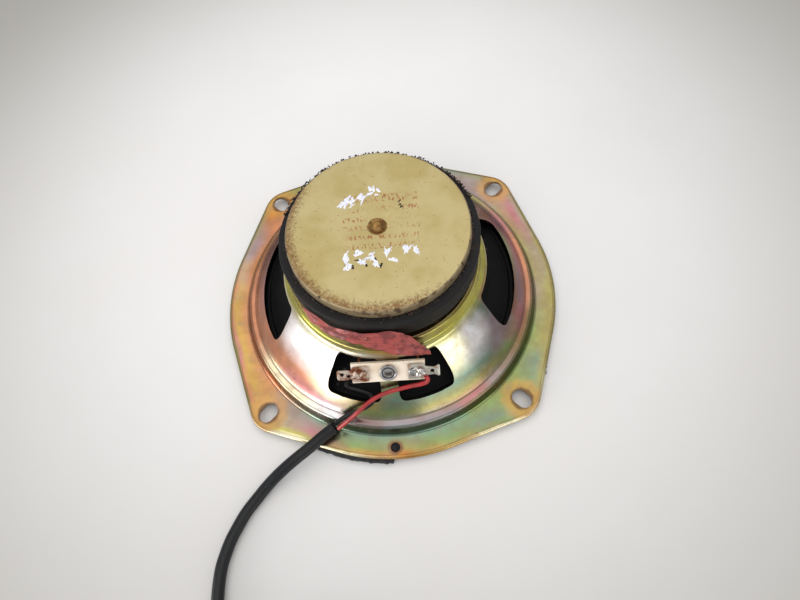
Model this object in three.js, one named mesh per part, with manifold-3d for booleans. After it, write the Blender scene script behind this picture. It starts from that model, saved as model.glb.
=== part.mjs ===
// A 13 cm car loudspeaker lying face down, with its terminal board and sheathed lead.
// Millimetres, +Z up. Origin: centre of the front gasket's face, which stands on the table.
// The terminals are on the -Y side. Standalone: needs only the packages three and manifold-3d.
import * as THREE from 'three';
import { mergeVertices } from 'three/addons/utils/BufferGeometryUtils.js';
import Module from 'manifold-3d';

const manifoldLibrary = await Module();
manifoldLibrary.setup();

// ---------- driving dimensions ----------
const GAP = 0.3; // clearance left between pieces that touch
const SHEET = 0.9; // pressed steel of the basket
const GASKET_HEIGHT = 2.9;
const FLANGE_TOP = GASKET_HEIGHT + GAP + SHEET;
const FLANGE_RADIUS = 67.5; // round sides of the flange
const CORNER_REACH = 63.7; // centre of each rounded corner, along the diagonal
const CORNER_RADIUS = 10.6;
const CORNERS = [45, 135, 225, 315]; // directions of the four corners
const RIM_DROP = 1.9; // turned-down edge, measured from the flange top
const SCREW_CIRCLE = 67.9; // radius on which the four screw slots lie
const SLOT_LENGTH = 7.8;
const SLOT_WIDTH = 5.6;
const PILOT_HOLE = { y: -63.4, radius: 1.75 };
const OPENING_RADIUS = 60.4; // where the flat flange gives way to the turned basket

// back face of the basket as [radius, height above the flange top], from the flange inwards
const BASKET_PROFILE = [
  [61.6, 0], [59, 0], [57.5, 4.2], [56.8, 4.9], [54.4, 5.0], [52.2, 7.6],
  [38.4, 24.6], [37.2, 26.4], [35.8, 27.0], [34.7, 30.2], [33.9, 30.9], [22, 30.9],
];
const SLOPE_START = 5; // place of the slope's two ends in that list
const SLOPE_END = 6;
const WINDOW = {
  inner: 38.0, outer: 49.7, innerHalfAngle: 27, outerHalfAngle: 29.5, innerCorner: 2, outerCorner: 5,
};
const WINDOW_CUT = { bottom: FLANGE_TOP + 3, top: FLANGE_TOP + 34 };
const STRUT = { width: 6.2, near: -30, far: -60, top: 60 }; // bar across the terminal-side window

const BASKET_BACK = FLANGE_TOP + 30.9;
const MAGNET_STACK = BASKET_BACK + 0.2; // lowest face of the front plate
const FRONT_PLATE = { inner: 13.9, outer: 31, height: 4.7 };
const MAGNET = { inner: 16, outer: 34.6, height: 9.5, chamfer: 0.7 };
const BACK_PLATE = { outer: 31.3, height: 4, draft: 0.3 };
const EDGE_BREAK = 0.5; // chamfer on turned steel
const POLE_RADIUS = 11.9;
const STUD_RADIUS = 3.25; // end of the pole pressed through the back plate
const STUD_DIMPLE = { radius: 0.6, depth: 1.4 };

const FORMER = { inner: 12.4, outer: 12.65, bottom: 22.8, top: 41 };
const WINDING = { inner: 12.95, outer: 13.4, bottom: 34.2, top: 41 };
const CONE = {
  inner: 13, middle: 30, outer: 47.2, edgeHeight: 11.9, neckHeight: 25, bow: 0.4, thickness: 0.6,
};
const DUST_CAP = { radius: 17.4, rimHeight: 22.2, crownHeight: 16.8, thickness: 0.5 };
const SPIDER = {
  inner: 12.95, collar: 1.6, firstWave: 2.6, landing: 34, outer: 36,
  neckHeight: 26.1, landingHeight: 28.9, waves: 5, swing: 0.45, thickness: 0.4,
};
const SURROUND_THICKNESS = 0.5;
const LANDING_RING = { inner: 54.6, outer: 56.3, bottom: 5.8, top: 7.1 };
const GASKET = { inner: 59.9, outer: 65.6, notchCircle: 67.3, notchRadius: 5.2 };

// terminal board: lies along the basket's slope, on the strut
const BOARD = { length: 25.6, width: 7.8, bottom: 0.3, top: 1.6, rivetHole: 1.75, lugHole: 1.1 };
const BOARD_HEIGHT = FLANGE_TOP + 21.8; // where its middle line meets the slope
const LUG = {
  start: 6.8, shoulder: 12.8, end: 17.8, baseWidth: 6, tailWidth: 3.9, bottom: 1.9, top: 2.4,
  rivetX: 8.4, solderX: 11.2, tailHoleX: 15.2, tailHoleRadius: 0.8, cut: 0.8, tip: 1.2, flare: 0.5,
};

// lead
const CABLE_RADIUS = 2.1;
const CORE_RADIUS = 1.05;
const COIL = {
  x: -30, y: -150, innerTurn: 24.2, outerTurn: 28.5, topTurn: 26.35, topHeight: 6.0, lift: 0.1, entry: 17.6,
};
const PLUG = { back: 10, front: 28, width: 13, height: 8.4 };
const CAVITY = { offset: 3.1, width: 4.2, height: 4.4, depth: 12 };
const CONTACT = { length: 9, width: 2.8, thickness: 0.8, setBack: 6.8 };

const RADIANS = Math.PI / 180;
const ROUND = 40; // facets of a turned piece
const BASKET_FACETS = 48;

// ---------- geometry helpers ----------
function closeBody(geometry) {
  // merges shared corners, drops the empty triangles at poles and turns the faces outwards
  const bare = geometry.clone();
  for (const name of Object.keys(bare.attributes)) {
    if (name !== 'position') bare.deleteAttribute(name);
  }
  const merged = mergeVertices(bare, 1e-4);
  const position = merged.attributes.position;
  const corners = [];
  let volume = 0;
  const a = new THREE.Vector3();
  const b = new THREE.Vector3();
  const c = new THREE.Vector3();
  for (let i = 0; i < merged.index.count; i += 3) {
    const [p, q, r] = [merged.index.getX(i), merged.index.getX(i + 1), merged.index.getX(i + 2)];
    if (p === q || q === r || r === p) continue;
    corners.push(p, q, r);
    a.fromBufferAttribute(position, p);
    b.fromBufferAttribute(position, q);
    c.fromBufferAttribute(position, r);
    volume += a.dot(b.cross(c));
  }
  if (volume < 0) corners.reverse();
  merged.setIndex(corners);
  return merged;
}

function toSolid(geometry) {
  const body = closeBody(geometry);
  return new manifoldLibrary.Manifold(new manifoldLibrary.Mesh({
    numProp: 3,
    vertProperties: Float32Array.from(body.attributes.position.array),
    triVerts: Uint32Array.from(body.index.array),
  }));
}

function toGeometry(solid) {
  const mesh = solid.getMesh();
  const geometry = new THREE.BufferGeometry();
  geometry.setAttribute('position', new THREE.BufferAttribute(mesh.vertProperties, 3));
  geometry.setIndex(new THREE.BufferAttribute(mesh.triVerts, 1));
  return geometry;
}

function turned(profile, facets = ROUND) {
  // profile: [radius, z] points, closed on itself or starting and ending on the axis
  const points = profile.map(([radius, z]) => new THREE.Vector2(radius, z));
  const onAxis = profile[0][0] === 0 && profile[profile.length - 1][0] === 0;
  if (!onAxis) points.push(points[0].clone());
  return new THREE.LatheGeometry(points, facets).rotateX(Math.PI / 2);
}

function ring(inner, outer, bottom, top, chamfer = 0, facets = ROUND) {
  if (chamfer === 0) return turned([[inner, bottom], [outer, bottom], [outer, top], [inner, top]], facets);
  return turned([
    [inner, bottom], [outer - chamfer, bottom], [outer, bottom + chamfer],
    [outer, top - chamfer], [outer - chamfer, top], [inner, top],
  ], facets);
}

function slab(shape, bottom, top, curveSegments = 12) {
  const options = { depth: top - bottom, bevelEnabled: false, curveSegments };
  return new THREE.ExtrudeGeometry(shape, options).translate(0, 0, bottom);
}

function sheetProfile(line, thickness) {
  // closes a [radius, z] line into a sheet that lies wholly on its right-hand side
  const inside = line.map(([radius, z], i) => {
    const [r0, z0] = line[Math.max(i - 1, 0)];
    const [r1, z1] = line[Math.min(i + 1, line.length - 1)];
    const length = Math.hypot(r1 - r0, z1 - z0);
    return [radius + (thickness * (z1 - z0)) / length * -1, z + (thickness * (r1 - r0)) / length];
  });
  return [...line, ...inside.reverse()];
}

function tube(points, radius, sides, steps) {
  const path = new THREE.CatmullRomCurve3(points.map((p) => new THREE.Vector3(...p)), false, 'centripetal');
  const section = new THREE.Shape();
  for (let i = 0; i < sides; i += 1) {
    const angle = (i / sides) * 2 * Math.PI;
    const corner = [radius * Math.cos(angle), radius * Math.sin(angle)];
    if (i === 0) section.moveTo(...corner);
    else section.lineTo(...corner);
  }
  section.closePath();
  return new THREE.ExtrudeGeometry(section, { extrudePath: path, steps, bevelEnabled: false });
}

function rectangle(x0, y0, x1, y1) {
  const corners = [[x0, y0], [x1, y0], [x1, y1], [x0, y1]];
  return new THREE.Shape(corners.map(([x, y]) => new THREE.Vector2(x, y)));
}

// ---------- assembly ----------
const loudspeaker = new THREE.Group();
loudspeaker.name = 'car_loudspeaker';

const FINISHES = {
  zinc: { color: 0xa7a06a, roughness: 0.35, metalness: 0.9 },
  plate: { color: 0xb09a58, roughness: 0.6, metalness: 0.7 },
  ferrite: { color: 0x2b2b2d, roughness: 0.7, metalness: 0.1 },
  steel: { color: 0x8f8f92, roughness: 0.35, metalness: 1 },
  bronze: { color: 0x8a6a3c, roughness: 0.4, metalness: 0.9 },
  paper: { color: 0x18181a, roughness: 0.9, metalness: 0 },
  cloth: { color: 0x4a3d24, roughness: 0.9, metalness: 0 },
  card: { color: 0x2e2c29, roughness: 0.95, metalness: 0 },
  foam: { color: 0x202022, roughness: 1, metalness: 0 },
  copper: { color: 0xb0603a, roughness: 0.35, metalness: 1 },
  fibre: { color: 0xd9d2c0, roughness: 0.7, metalness: 0 },
  tin: { color: 0xb9b7b0, roughness: 0.35, metalness: 1 },
  tape: { color: 0xa0413f, roughness: 0.5, metalness: 0 },
  redPlastic: { color: 0xc0181c, roughness: 0.4, metalness: 0 },
  blackPlastic: { color: 0x151515, roughness: 0.4, metalness: 0 },
  whitePlastic: { color: 0xd8d8d2, roughness: 0.5, metalness: 0 },
};

function addPiece(name, geometry, finish, parent = loudspeaker) {
  const mesh = new THREE.Mesh(closeBody(geometry), new THREE.MeshStandardMaterial(FINISHES[finish]));
  mesh.name = name;
  parent.add(mesh);
  return mesh;
}

// ---------- basket ----------
function flangeOutline(inset) {
  // round sides and four rounded corners joined by their common tangents
  const side = FLANGE_RADIUS - inset;
  const corner = CORNER_RADIUS - inset;
  const spread = Math.acos((side - corner) / CORNER_REACH);
  const outline = new THREE.Shape();
  for (const degrees of CORNERS) {
    const diagonal = degrees * RADIANS;
    const sideStart = diagonal - 90 * RADIANS + spread;
    outline.absarc(0, 0, side, sideStart, diagonal - spread, false);
    const x = CORNER_REACH * Math.cos(diagonal);
    const y = CORNER_REACH * Math.sin(diagonal);
    outline.absarc(x, y, corner, diagonal - spread, diagonal + spread, false);
  }
  outline.closePath();
  return outline;
}

function screwSlot(diagonal) {
  const half = (SLOT_LENGTH - SLOT_WIDTH) / 2;
  const slot = new THREE.Path();
  for (const [reach, start] of [[SCREW_CIRCLE + half, -0.5], [SCREW_CIRCLE - half, 0.5]]) {
    const from = diagonal + start * Math.PI;
    const centre = [reach * Math.cos(diagonal), reach * Math.sin(diagonal)];
    slot.absarc(...centre, SLOT_WIDTH / 2, from, from + Math.PI);
  }
  slot.closePath();
  return slot;
}

function windowCutter() {
  // one window in plan, on the +X side, cut straight down through the slope
  const { inner, outer, innerCorner, outerCorner } = WINDOW;
  const at = (radius, degrees) => {
    const angle = degrees * RADIANS;
    return [radius * Math.cos(angle), radius * Math.sin(angle)];
  };
  const innerSlip = innerCorner / inner / RADIANS;
  const outerSlip = outerCorner / outer / RADIANS;
  const side = (radius) => WINDOW.innerHalfAngle
    + ((WINDOW.outerHalfAngle - WINDOW.innerHalfAngle) * (radius - inner)) / (outer - inner);
  const plan = new THREE.Shape();
  plan.moveTo(...at(inner + innerCorner, -side(inner + innerCorner)));
  plan.lineTo(...at(outer - outerCorner, -side(outer - outerCorner)));
  plan.quadraticCurveTo(...at(outer, -side(outer)), ...at(outer, -side(outer) + outerSlip));
  plan.absarc(0, 0, outer, (-side(outer) + outerSlip) * RADIANS, (side(outer) - outerSlip) * RADIANS, false);
  plan.quadraticCurveTo(...at(outer, side(outer)), ...at(outer - outerCorner, side(outer - outerCorner)));
  plan.lineTo(...at(inner + innerCorner, side(inner + innerCorner)));
  plan.quadraticCurveTo(...at(inner, side(inner)), ...at(inner, side(inner) - innerSlip));
  plan.absarc(0, 0, inner, (side(inner) - innerSlip) * RADIANS, (-side(inner) + innerSlip) * RADIANS, true);
  plan.quadraticCurveTo(...at(inner, -side(inner)), ...at(inner + innerCorner, -side(inner + innerCorner)));
  return slab(plan, WINDOW_CUT.bottom, WINDOW_CUT.top, 4);
}

// local axes of the terminal strut: X along the board, Y up the slope, Z out of the slope
const slopeStart = BASKET_PROFILE[SLOPE_START];
const slopeEnd = BASKET_PROFILE[SLOPE_END];
const slopeAngle = Math.atan2(slopeEnd[1] - slopeStart[1], slopeStart[0] - slopeEnd[0]);
const boardShare = (BOARD_HEIGHT - FLANGE_TOP - slopeStart[1]) / (slopeEnd[1] - slopeStart[1]);
const boardRadius = slopeStart[0] + (slopeEnd[0] - slopeStart[0]) * boardShare;
const strutPlace = new THREE.Matrix4()
  .makeTranslation(0, -boardRadius, BOARD_HEIGHT)
  .multiply(new THREE.Matrix4().makeRotationX(slopeAngle));

const STAKE = { circle: 26.5, shank: 1.7, head: 2.7, headHeight: 1.1, holeRadius: 2, holeHeight: 4 };

function makeBasket() {
  const plate = flangeOutline(0);
  const opening = new THREE.Path();
  opening.absarc(0, 0, OPENING_RADIUS, 0, 2 * Math.PI);
  plate.holes.push(opening);
  for (const degrees of CORNERS) plate.holes.push(screwSlot(degrees * RADIANS));
  const pilot = new THREE.Path();
  pilot.absarc(0, PILOT_HOLE.y, PILOT_HOLE.radius, 0, 2 * Math.PI);
  plate.holes.push(pilot);
  const rim = flangeOutline(0);
  rim.holes.push(flangeOutline(SHEET));

  const line = BASKET_PROFILE.map(([radius, height]) => [radius, FLANGE_TOP + height]);
  let basket = toSolid(turned(sheetProfile(line, SHEET), BASKET_FACETS))
    .add(toSolid(slab(plate, FLANGE_TOP - SHEET, FLANGE_TOP, 4)))
    .add(toSolid(slab(rim, FLANGE_TOP - RIM_DROP, FLANGE_TOP - SHEET / 2, 4)));

  const bar = rectangle(-STRUT.width / 2, STRUT.far, STRUT.width / 2, STRUT.near);
  const strut = toSolid(slab(bar, 0, STRUT.top));
  for (let quarter = 0; quarter < 4; quarter += 1) {
    let cutter = toSolid(windowCutter().rotateZ(90 * quarter * RADIANS));
    if (quarter === 3) cutter = cutter.subtract(strut);
    basket = basket.subtract(cutter);
  }
  const stakeCutter = new THREE.CylinderGeometry(STAKE.holeRadius, STAKE.holeRadius, STAKE.holeHeight, 16);
  const stakeHole = toSolid(stakeCutter.rotateX(Math.PI / 2));
  for (const degrees of CORNERS) {
    const x = STAKE.circle * Math.cos(degrees * RADIANS);
    const y = STAKE.circle * Math.sin(degrees * RADIANS);
    basket = basket.subtract(stakeHole.translate([x, y, BASKET_BACK - SHEET / 2]));
  }
  const rivetHole = new THREE.CylinderGeometry(BOARD.rivetHole, BOARD.rivetHole, 6, 20);
  return toGeometry(basket.subtract(toSolid(rivetHole.rotateX(Math.PI / 2).applyMatrix4(strutPlace))));
}
addPiece('basket', makeBasket(), 'zinc');

function makeGasket() {
  let gasket = toSolid(ring(GASKET.inner, GASKET.outer, 0, GASKET_HEIGHT));
  const cutter = new THREE.CylinderGeometry(GASKET.notchRadius, GASKET.notchRadius, 4 * GASKET_HEIGHT, 20);
  const clearance = toSolid(cutter.rotateX(Math.PI / 2));
  for (const degrees of CORNERS) {
    const diagonal = degrees * RADIANS;
    const x = GASKET.notchCircle * Math.cos(diagonal);
    const y = GASKET.notchCircle * Math.sin(diagonal);
    gasket = gasket.subtract(clearance.translate([x, y, 0]));
  }
  return toGeometry(gasket);
}
addPiece('front_gasket', makeGasket(), 'foam');

// ---------- magnet system ----------
const frontPlateTop = MAGNET_STACK + FRONT_PLATE.height;
const magnetBottom = frontPlateTop + GAP;
const magnetTop = magnetBottom + MAGNET.height;
const backPlateBottom = magnetTop + GAP;
const backPlateTop = backPlateBottom + BACK_PLATE.height;

const frontPlateRing = ring(FRONT_PLATE.inner, FRONT_PLATE.outer, MAGNET_STACK, frontPlateTop, EDGE_BREAK);
addPiece('front_plate', frontPlateRing, 'plate');
addPiece('magnet', ring(MAGNET.inner, MAGNET.outer, magnetBottom, magnetTop, MAGNET.chamfer), 'ferrite');
addPiece('back_plate', turned([
  [STUD_RADIUS + GAP, backPlateBottom], [BACK_PLATE.outer + BACK_PLATE.draft, backPlateBottom],
  [BACK_PLATE.outer, backPlateTop - EDGE_BREAK], [BACK_PLATE.outer - EDGE_BREAK, backPlateTop],
  [STUD_RADIUS + GAP, backPlateTop],
]), 'plate');
const studTop = backPlateTop - 0.1;
addPiece('pole_piece', turned([
  [0, MAGNET_STACK], [POLE_RADIUS - EDGE_BREAK, MAGNET_STACK], [POLE_RADIUS, MAGNET_STACK + EDGE_BREAK],
  [POLE_RADIUS, magnetTop], [STUD_RADIUS, magnetTop], [STUD_RADIUS, studTop],
  [STUD_RADIUS - EDGE_BREAK, studTop], [STUD_DIMPLE.radius, studTop - STUD_DIMPLE.depth],
  [0, studTop - STUD_DIMPLE.depth],
], 32), 'bronze');

CORNERS.forEach((degrees, i) => {
  const headTop = BASKET_BACK - SHEET - GAP;
  const headBottom = headTop - STAKE.headHeight;
  const shankTop = MAGNET_STACK - GAP;
  const stake = turned([
    [0, headBottom], [STAKE.head - EDGE_BREAK, headBottom], [STAKE.head, headBottom + EDGE_BREAK],
    [STAKE.head, headTop], [STAKE.shank, headTop], [STAKE.shank, shankTop], [0, shankTop],
  ], 10);
  const x = STAKE.circle * Math.cos(degrees * RADIANS);
  const y = STAKE.circle * Math.sin(degrees * RADIANS);
  addPiece(`plate_stake_${i + 1}`, stake.translate(x, y, 0), 'zinc');
});

// ---------- moving system ----------
const coneSlope = (CONE.neckHeight - CONE.edgeHeight) / (CONE.outer - CONE.inner);
const coneHeight = (radius) => CONE.edgeHeight + (CONE.outer - radius) * coneSlope;
const coneHalf = CONE.thickness / 2;
const middleHeight = coneHeight(CONE.middle) + CONE.bow;

const plainRing = ({ inner, outer, bottom, top }, facets) => ring(inner, outer, bottom, top, 0, facets);
addPiece('voice_coil_former', plainRing(FORMER, 32), 'card');
addPiece('voice_coil_winding', plainRing(WINDING, 32), 'copper');
addPiece('cone', turned([
  [CONE.outer, CONE.edgeHeight - coneHalf], [CONE.outer, CONE.edgeHeight + coneHalf],
  [CONE.middle, middleHeight + coneHalf], [CONE.inner, CONE.neckHeight + coneHalf],
  [CONE.inner, CONE.neckHeight - coneHalf], [CONE.middle, middleHeight - coneHalf],
]), 'paper');

const capLine = [0, 0.35, 0.7, 1].map((share) => [
  DUST_CAP.radius * share,
  DUST_CAP.crownHeight + (DUST_CAP.rimHeight - DUST_CAP.crownHeight) * share * share,
]);
addPiece('dust_cap', turned([
  ...capLine, ...capLine.map(([radius, z]) => [radius, z + DUST_CAP.thickness]).reverse(),
], 32), 'paper');

function spiderLine() {
  const line = [[SPIDER.inner, SPIDER.neckHeight], [SPIDER.inner + SPIDER.collar, SPIDER.neckHeight]];
  const crests = SPIDER.waves * 2;
  const start = SPIDER.inner + SPIDER.firstWave;
  for (let i = 0; i < crests; i += 1) {
    const share = (i + 0.5) / crests;
    const radius = start + (SPIDER.landing - start) * share;
    const base = SPIDER.neckHeight + (SPIDER.landingHeight - SPIDER.neckHeight) * share;
    line.push([radius, base + SPIDER.swing * Math.sin(2 * Math.PI * SPIDER.waves * share)]);
  }
  line.push([SPIDER.outer, SPIDER.landingHeight]);
  return line;
}
addPiece('spider', turned(sheetProfile(spiderLine(), -SPIDER.thickness), 28), 'cloth');

// pleats that climb steadily from the landing to the cone's edge
const surroundLine = [
  [56.4, 7.4], [53.4, 7.4], [52.1, 8.8], [50.4, 9.3], [49.2, 10.9], [47.5, 11.5],
];
addPiece('surround', turned(sheetProfile(surroundLine, -SURROUND_THICKNESS)), 'cloth');
addPiece('landing_ring', plainRing(LANDING_RING, ROUND), 'card');

// ---------- terminals ----------
const terminalGroup = new THREE.Group();
terminalGroup.applyMatrix4(strutPlace);
loudspeaker.add(terminalGroup);

function circleHole(x, y, radius) {
  const hole = new THREE.Path();
  hole.absarc(x, y, radius, 0, 2 * Math.PI);
  return hole;
}

const boardShape = rectangle(-BOARD.length / 2, -BOARD.width / 2, BOARD.length / 2, BOARD.width / 2);
boardShape.holes.push(circleHole(0, 0, BOARD.rivetHole));
for (const x of [-LUG.rivetX, LUG.rivetX]) boardShape.holes.push(circleHole(x, 0, BOARD.lugHole));
addPiece('terminal_board', slab(boardShape, BOARD.bottom, BOARD.top, 6), 'fibre', terminalGroup);

const rivetBody = toSolid(turned([
  [0, -2.0], [2.1, -2.0], [2.6, -1.6], [2.6, -SHEET - GAP], [1.45, -SHEET - GAP], [1.45, BOARD.top + GAP],
  [3.1, BOARD.top + GAP], [3.1, BOARD.top + 0.8], [2.7, BOARD.top + 1.1], [0, BOARD.top + 1.1],
], 16));
const rivetSocket = toSolid(new THREE.BoxGeometry(2.4, 2.4, 3).translate(0, 0, BOARD.top + 1.1));
addPiece('terminal_rivet', toGeometry(rivetBody.subtract(rivetSocket)), 'steel', terminalGroup);

function lugShape(forked) {
  const base = LUG.baseWidth / 2;
  const tail = LUG.tailWidth / 2;
  const flare = forked ? LUG.flare : 0;
  const edge = [
    [LUG.start, base], [LUG.shoulder - LUG.cut, base], [LUG.shoulder, tail],
    [LUG.end - LUG.tip, tail - flare], [LUG.end, tail],
  ];
  const lower = edge.map(([x, y]) => new THREE.Vector2(x, -y));
  const upper = edge.map(([x, y]) => new THREE.Vector2(x, y)).reverse();
  const shape = new THREE.Shape([...lower, ...upper]);
  shape.holes.push(circleHole(LUG.rivetX, 0, BOARD.lugHole));
  shape.holes.push(circleHole(LUG.tailHoleX, 0, LUG.tailHoleRadius));
  return shape;
}

for (const [side, direction] of [['left', -1], ['right', 1]]) {
  const lug = slab(lugShape(direction > 0), LUG.bottom, LUG.top, 6).scale(direction, 1, 1);
  addPiece(`lug_${side}`, lug, 'tin', terminalGroup);
  const rivet = turned([
    [0, -0.7], [1.5, -0.7], [1.5, 0], [0.8, 0], [0.8, LUG.top + GAP],
    [1.4, LUG.top + GAP], [1.2, LUG.top + 0.8], [0, LUG.top + 0.8],
  ], 10);
  addPiece(`lug_rivet_${side}`, rivet.translate(direction * LUG.rivetX, 0, 0), 'steel', terminalGroup);
  const solder = turned([
    [0, LUG.top + GAP], [1.35, LUG.top + GAP], [1.2, LUG.top + 0.9],
    [0.7, LUG.top + 1.4], [0, LUG.top + 1.6],
  ], 16);
  addPiece(`solder_${side}`, solder.translate(direction * LUG.solderX, 0.6, 0), 'tin', terminalGroup);
}

// ---------- leads from the terminals to the cone ----------
const EYELET = { x: 10.5, y: -26, radius: 1.6, height: 1, clear: 1.7 };
const TINSEL_RADIUS = 0.5;
const COIL_LEAD = { radius: 0.25, clear: 1.4 };
const eyeletBottom = coneHeight(Math.hypot(EYELET.x, EYELET.y)) + EYELET.clear;
for (const [side, direction] of [['left', -1], ['right', 1]]) {
  const eyelet = turned([
    [0, eyeletBottom], [EYELET.radius, eyeletBottom], [EYELET.radius - 0.3, eyeletBottom + EYELET.height],
    [0, eyeletBottom + EYELET.height],
  ], 16);
  addPiece(`cone_eyelet_${side}`, eyelet.translate(direction * EYELET.x, EYELET.y, 0), 'copper');
  const top = eyeletBottom + EYELET.height;
  addPiece(`tinsel_lead_${side}`, tube([
    [direction * 9.9, -40.1, 25.2], [direction * 10.2, -37.4, 24.3], [direction * 10.5, -33.8, 24.4],
    [direction * 10.6, -29.6, 24.6], [direction * 10.5, -26.8, 23.9], [direction * 10.5, -26, top + GAP],
  ], TINSEL_RADIUS, 8, 12), 'copper');
  const leadPoints = [[9.4, -23.3], [7.6, -18.6], [6.0, -14.2]];
  const leadRoute = leadPoints.map(([x, y]) => {
    const height = coneHeight(Math.hypot(x, y)) + COIL_LEAD.clear;
    return [direction * x, y, height];
  });
  addPiece(`coil_lead_${side}`, tube(leadRoute, COIL_LEAD.radius, 8, 8), 'copper');
}

// ---------- sealing tape over the neck ----------
const TAPE = { top: 46.1, bottom: 34.7, topRadius: 35.2, bottomRadius: 38.1, thickness: 0.5 };
const TAPE_EDGE = { first: -136, last: -70, steps: 4, reach: 60 }; // degrees round the magnet
const tapeBand = toSolid(turned([
  [TAPE.topRadius, TAPE.top], [TAPE.topRadius + TAPE.thickness, TAPE.top],
  [TAPE.bottomRadius + TAPE.thickness, TAPE.bottom], [TAPE.bottomRadius, TAPE.bottom],
], 96));
const tapeWedge = new THREE.Shape();
tapeWedge.moveTo(0, 0);
for (let i = 0; i <= TAPE_EDGE.steps; i += 1) {
  const angle = (TAPE_EDGE.first + ((TAPE_EDGE.last - TAPE_EDGE.first) * i) / TAPE_EDGE.steps) * RADIANS;
  tapeWedge.lineTo(TAPE_EDGE.reach * Math.cos(angle), TAPE_EDGE.reach * Math.sin(angle));
}
tapeWedge.closePath();
const tapeCutter = toSolid(slab(tapeWedge, TAPE.bottom - 1, TAPE.top + 1));
addPiece('sealing_tape', toGeometry(tapeBand.intersect(tapeCutter)), 'tape');

// ---------- lead ----------
const coilEntryY = COIL.y + COIL.entry;
addPiece('red_wire', tube([
  [15.0, -44.4, 24.6], [13.4, -45.2, 23.2], [10.7, -45.8, 22.4], [7.4, -46.1, 22.1], [3.5, -46.6, 21.6],
  [-0.8, -47.4, 21.0], [-4.6, -48.6, 20.2], [-8.0, -50.2, 19.0], [-11.2, -52.2, 17.0], [-14.4, -53.9, 14.5],
  [-17.6, -55.5, 11.9], [-20.1, -56.7, 9.9],
], CORE_RADIUS, 8, 20), 'redPlastic');
addPiece('black_wire', tube([
  [-15.0, -44.4, 24.6], [-14.6, -44.9, 22.6], [-12.6, -45.2, 20.6], [-10.0, -45.7, 18.8],
  [-7.4, -46.8, 17.3], [-6.6, -48.8, 16.4], [-8.4, -50.4, 15.5], [-11.6, -51.4, 14.5],
  [-15.2, -52.2, 12.9], [-18.6, -53.4, 11.0], [-21.2, -54.6, 9.7],
], CORE_RADIUS, 8, 20), 'blackPlastic');
addPiece('cable_sheath', tube([
  [-22.1, -56.2, 9.0], [-26.3, -58.8, 7.6], [-30.9, -62.2, 6.8], [-35.9, -65.9, 6.7], [-41.4, -69.9, 5.4],
  [-46.7, -74.2, 3.2], [-51.0, -78.9, 2.3], [-54.3, -83.1, 2.3], [-57.1, -88.0, 2.3], [-59.1, -92.0, 2.3],
  [-60.5, -96.1, 2.3], [-61.6, -100.4, 2.3], [-62.0, -104.9, 2.3], [-62.0, -110.4, 2.3],
  [-61.4, -116.6, 2.3],
  [-60.2, -123.6, 2.3], [-58.8, coilEntryY, 2.3],
], CABLE_RADIUS, 10, 18), 'blackPlastic');

const coilBase = COIL.lift;
addPiece('cable_coil', turned([
  [COIL.innerTurn - CABLE_RADIUS, coilBase], [COIL.outerTurn + CABLE_RADIUS, coilBase],
  [COIL.outerTurn + CABLE_RADIUS, coilBase + 2 * CABLE_RADIUS],
  [COIL.topTurn + CABLE_RADIUS, COIL.topHeight + CABLE_RADIUS],
  [COIL.topTurn - CABLE_RADIUS, COIL.topHeight + CABLE_RADIUS],
  [COIL.innerTurn - CABLE_RADIUS, coilBase + 2 * CABLE_RADIUS],
], 48).translate(COIL.x, COIL.y, 0), 'blackPlastic');
const tailY = COIL.y - COIL.topTurn;
addPiece('cable_tail', tube([
  [COIL.x + 20.8, tailY, 5.7], [COIL.x + 26, tailY, 4.7], [COIL.x + 32, tailY, 4.25],
  [PLUG.back - GAP, tailY, PLUG.height / 2],
], CABLE_RADIUS, 10, 6), 'blackPlastic');

const plugOutline = rectangle(-PLUG.width / 2, 0, PLUG.width / 2, PLUG.height);
const plugBody = toSolid(slab(plugOutline, PLUG.back, PLUG.front).applyMatrix4(
  new THREE.Matrix4().makeBasis(
    new THREE.Vector3(0, 1, 0), new THREE.Vector3(0, 0, 1), new THREE.Vector3(1, 0, 0),
  ),
).translate(0, tailY, 0));
const cavities = [-1, 1].map((side) => new THREE.BoxGeometry(CAVITY.depth * 2, CAVITY.width, CAVITY.height)
  .translate(PLUG.front, tailY + side * CAVITY.offset, PLUG.height / 2));
const plug = cavities.reduce((body, cavity) => body.subtract(toSolid(cavity)), plugBody);
addPiece('connector_housing', toGeometry(plug), 'whitePlastic');
for (const [i, side] of [-1, 1].entries()) {
  const blade = new THREE.BoxGeometry(CONTACT.length, CONTACT.width, CONTACT.thickness);
  blade.translate(PLUG.front - CONTACT.setBack, tailY + side * CAVITY.offset, PLUG.height / 2);
  addPiece(`connector_contact_${i + 1}`, blade, 'tin');
}

export default loudspeaker;
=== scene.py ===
"""A 13 cm car loudspeaker lying face down: fine shapes, finishes, camera and light on its frame."""

import logging
import math
import random
from dataclasses import dataclass, field
from enum import Enum
from typing import Iterable, Sequence

import bmesh
import bpy
from mathutils import Matrix, Vector, noise


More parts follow.
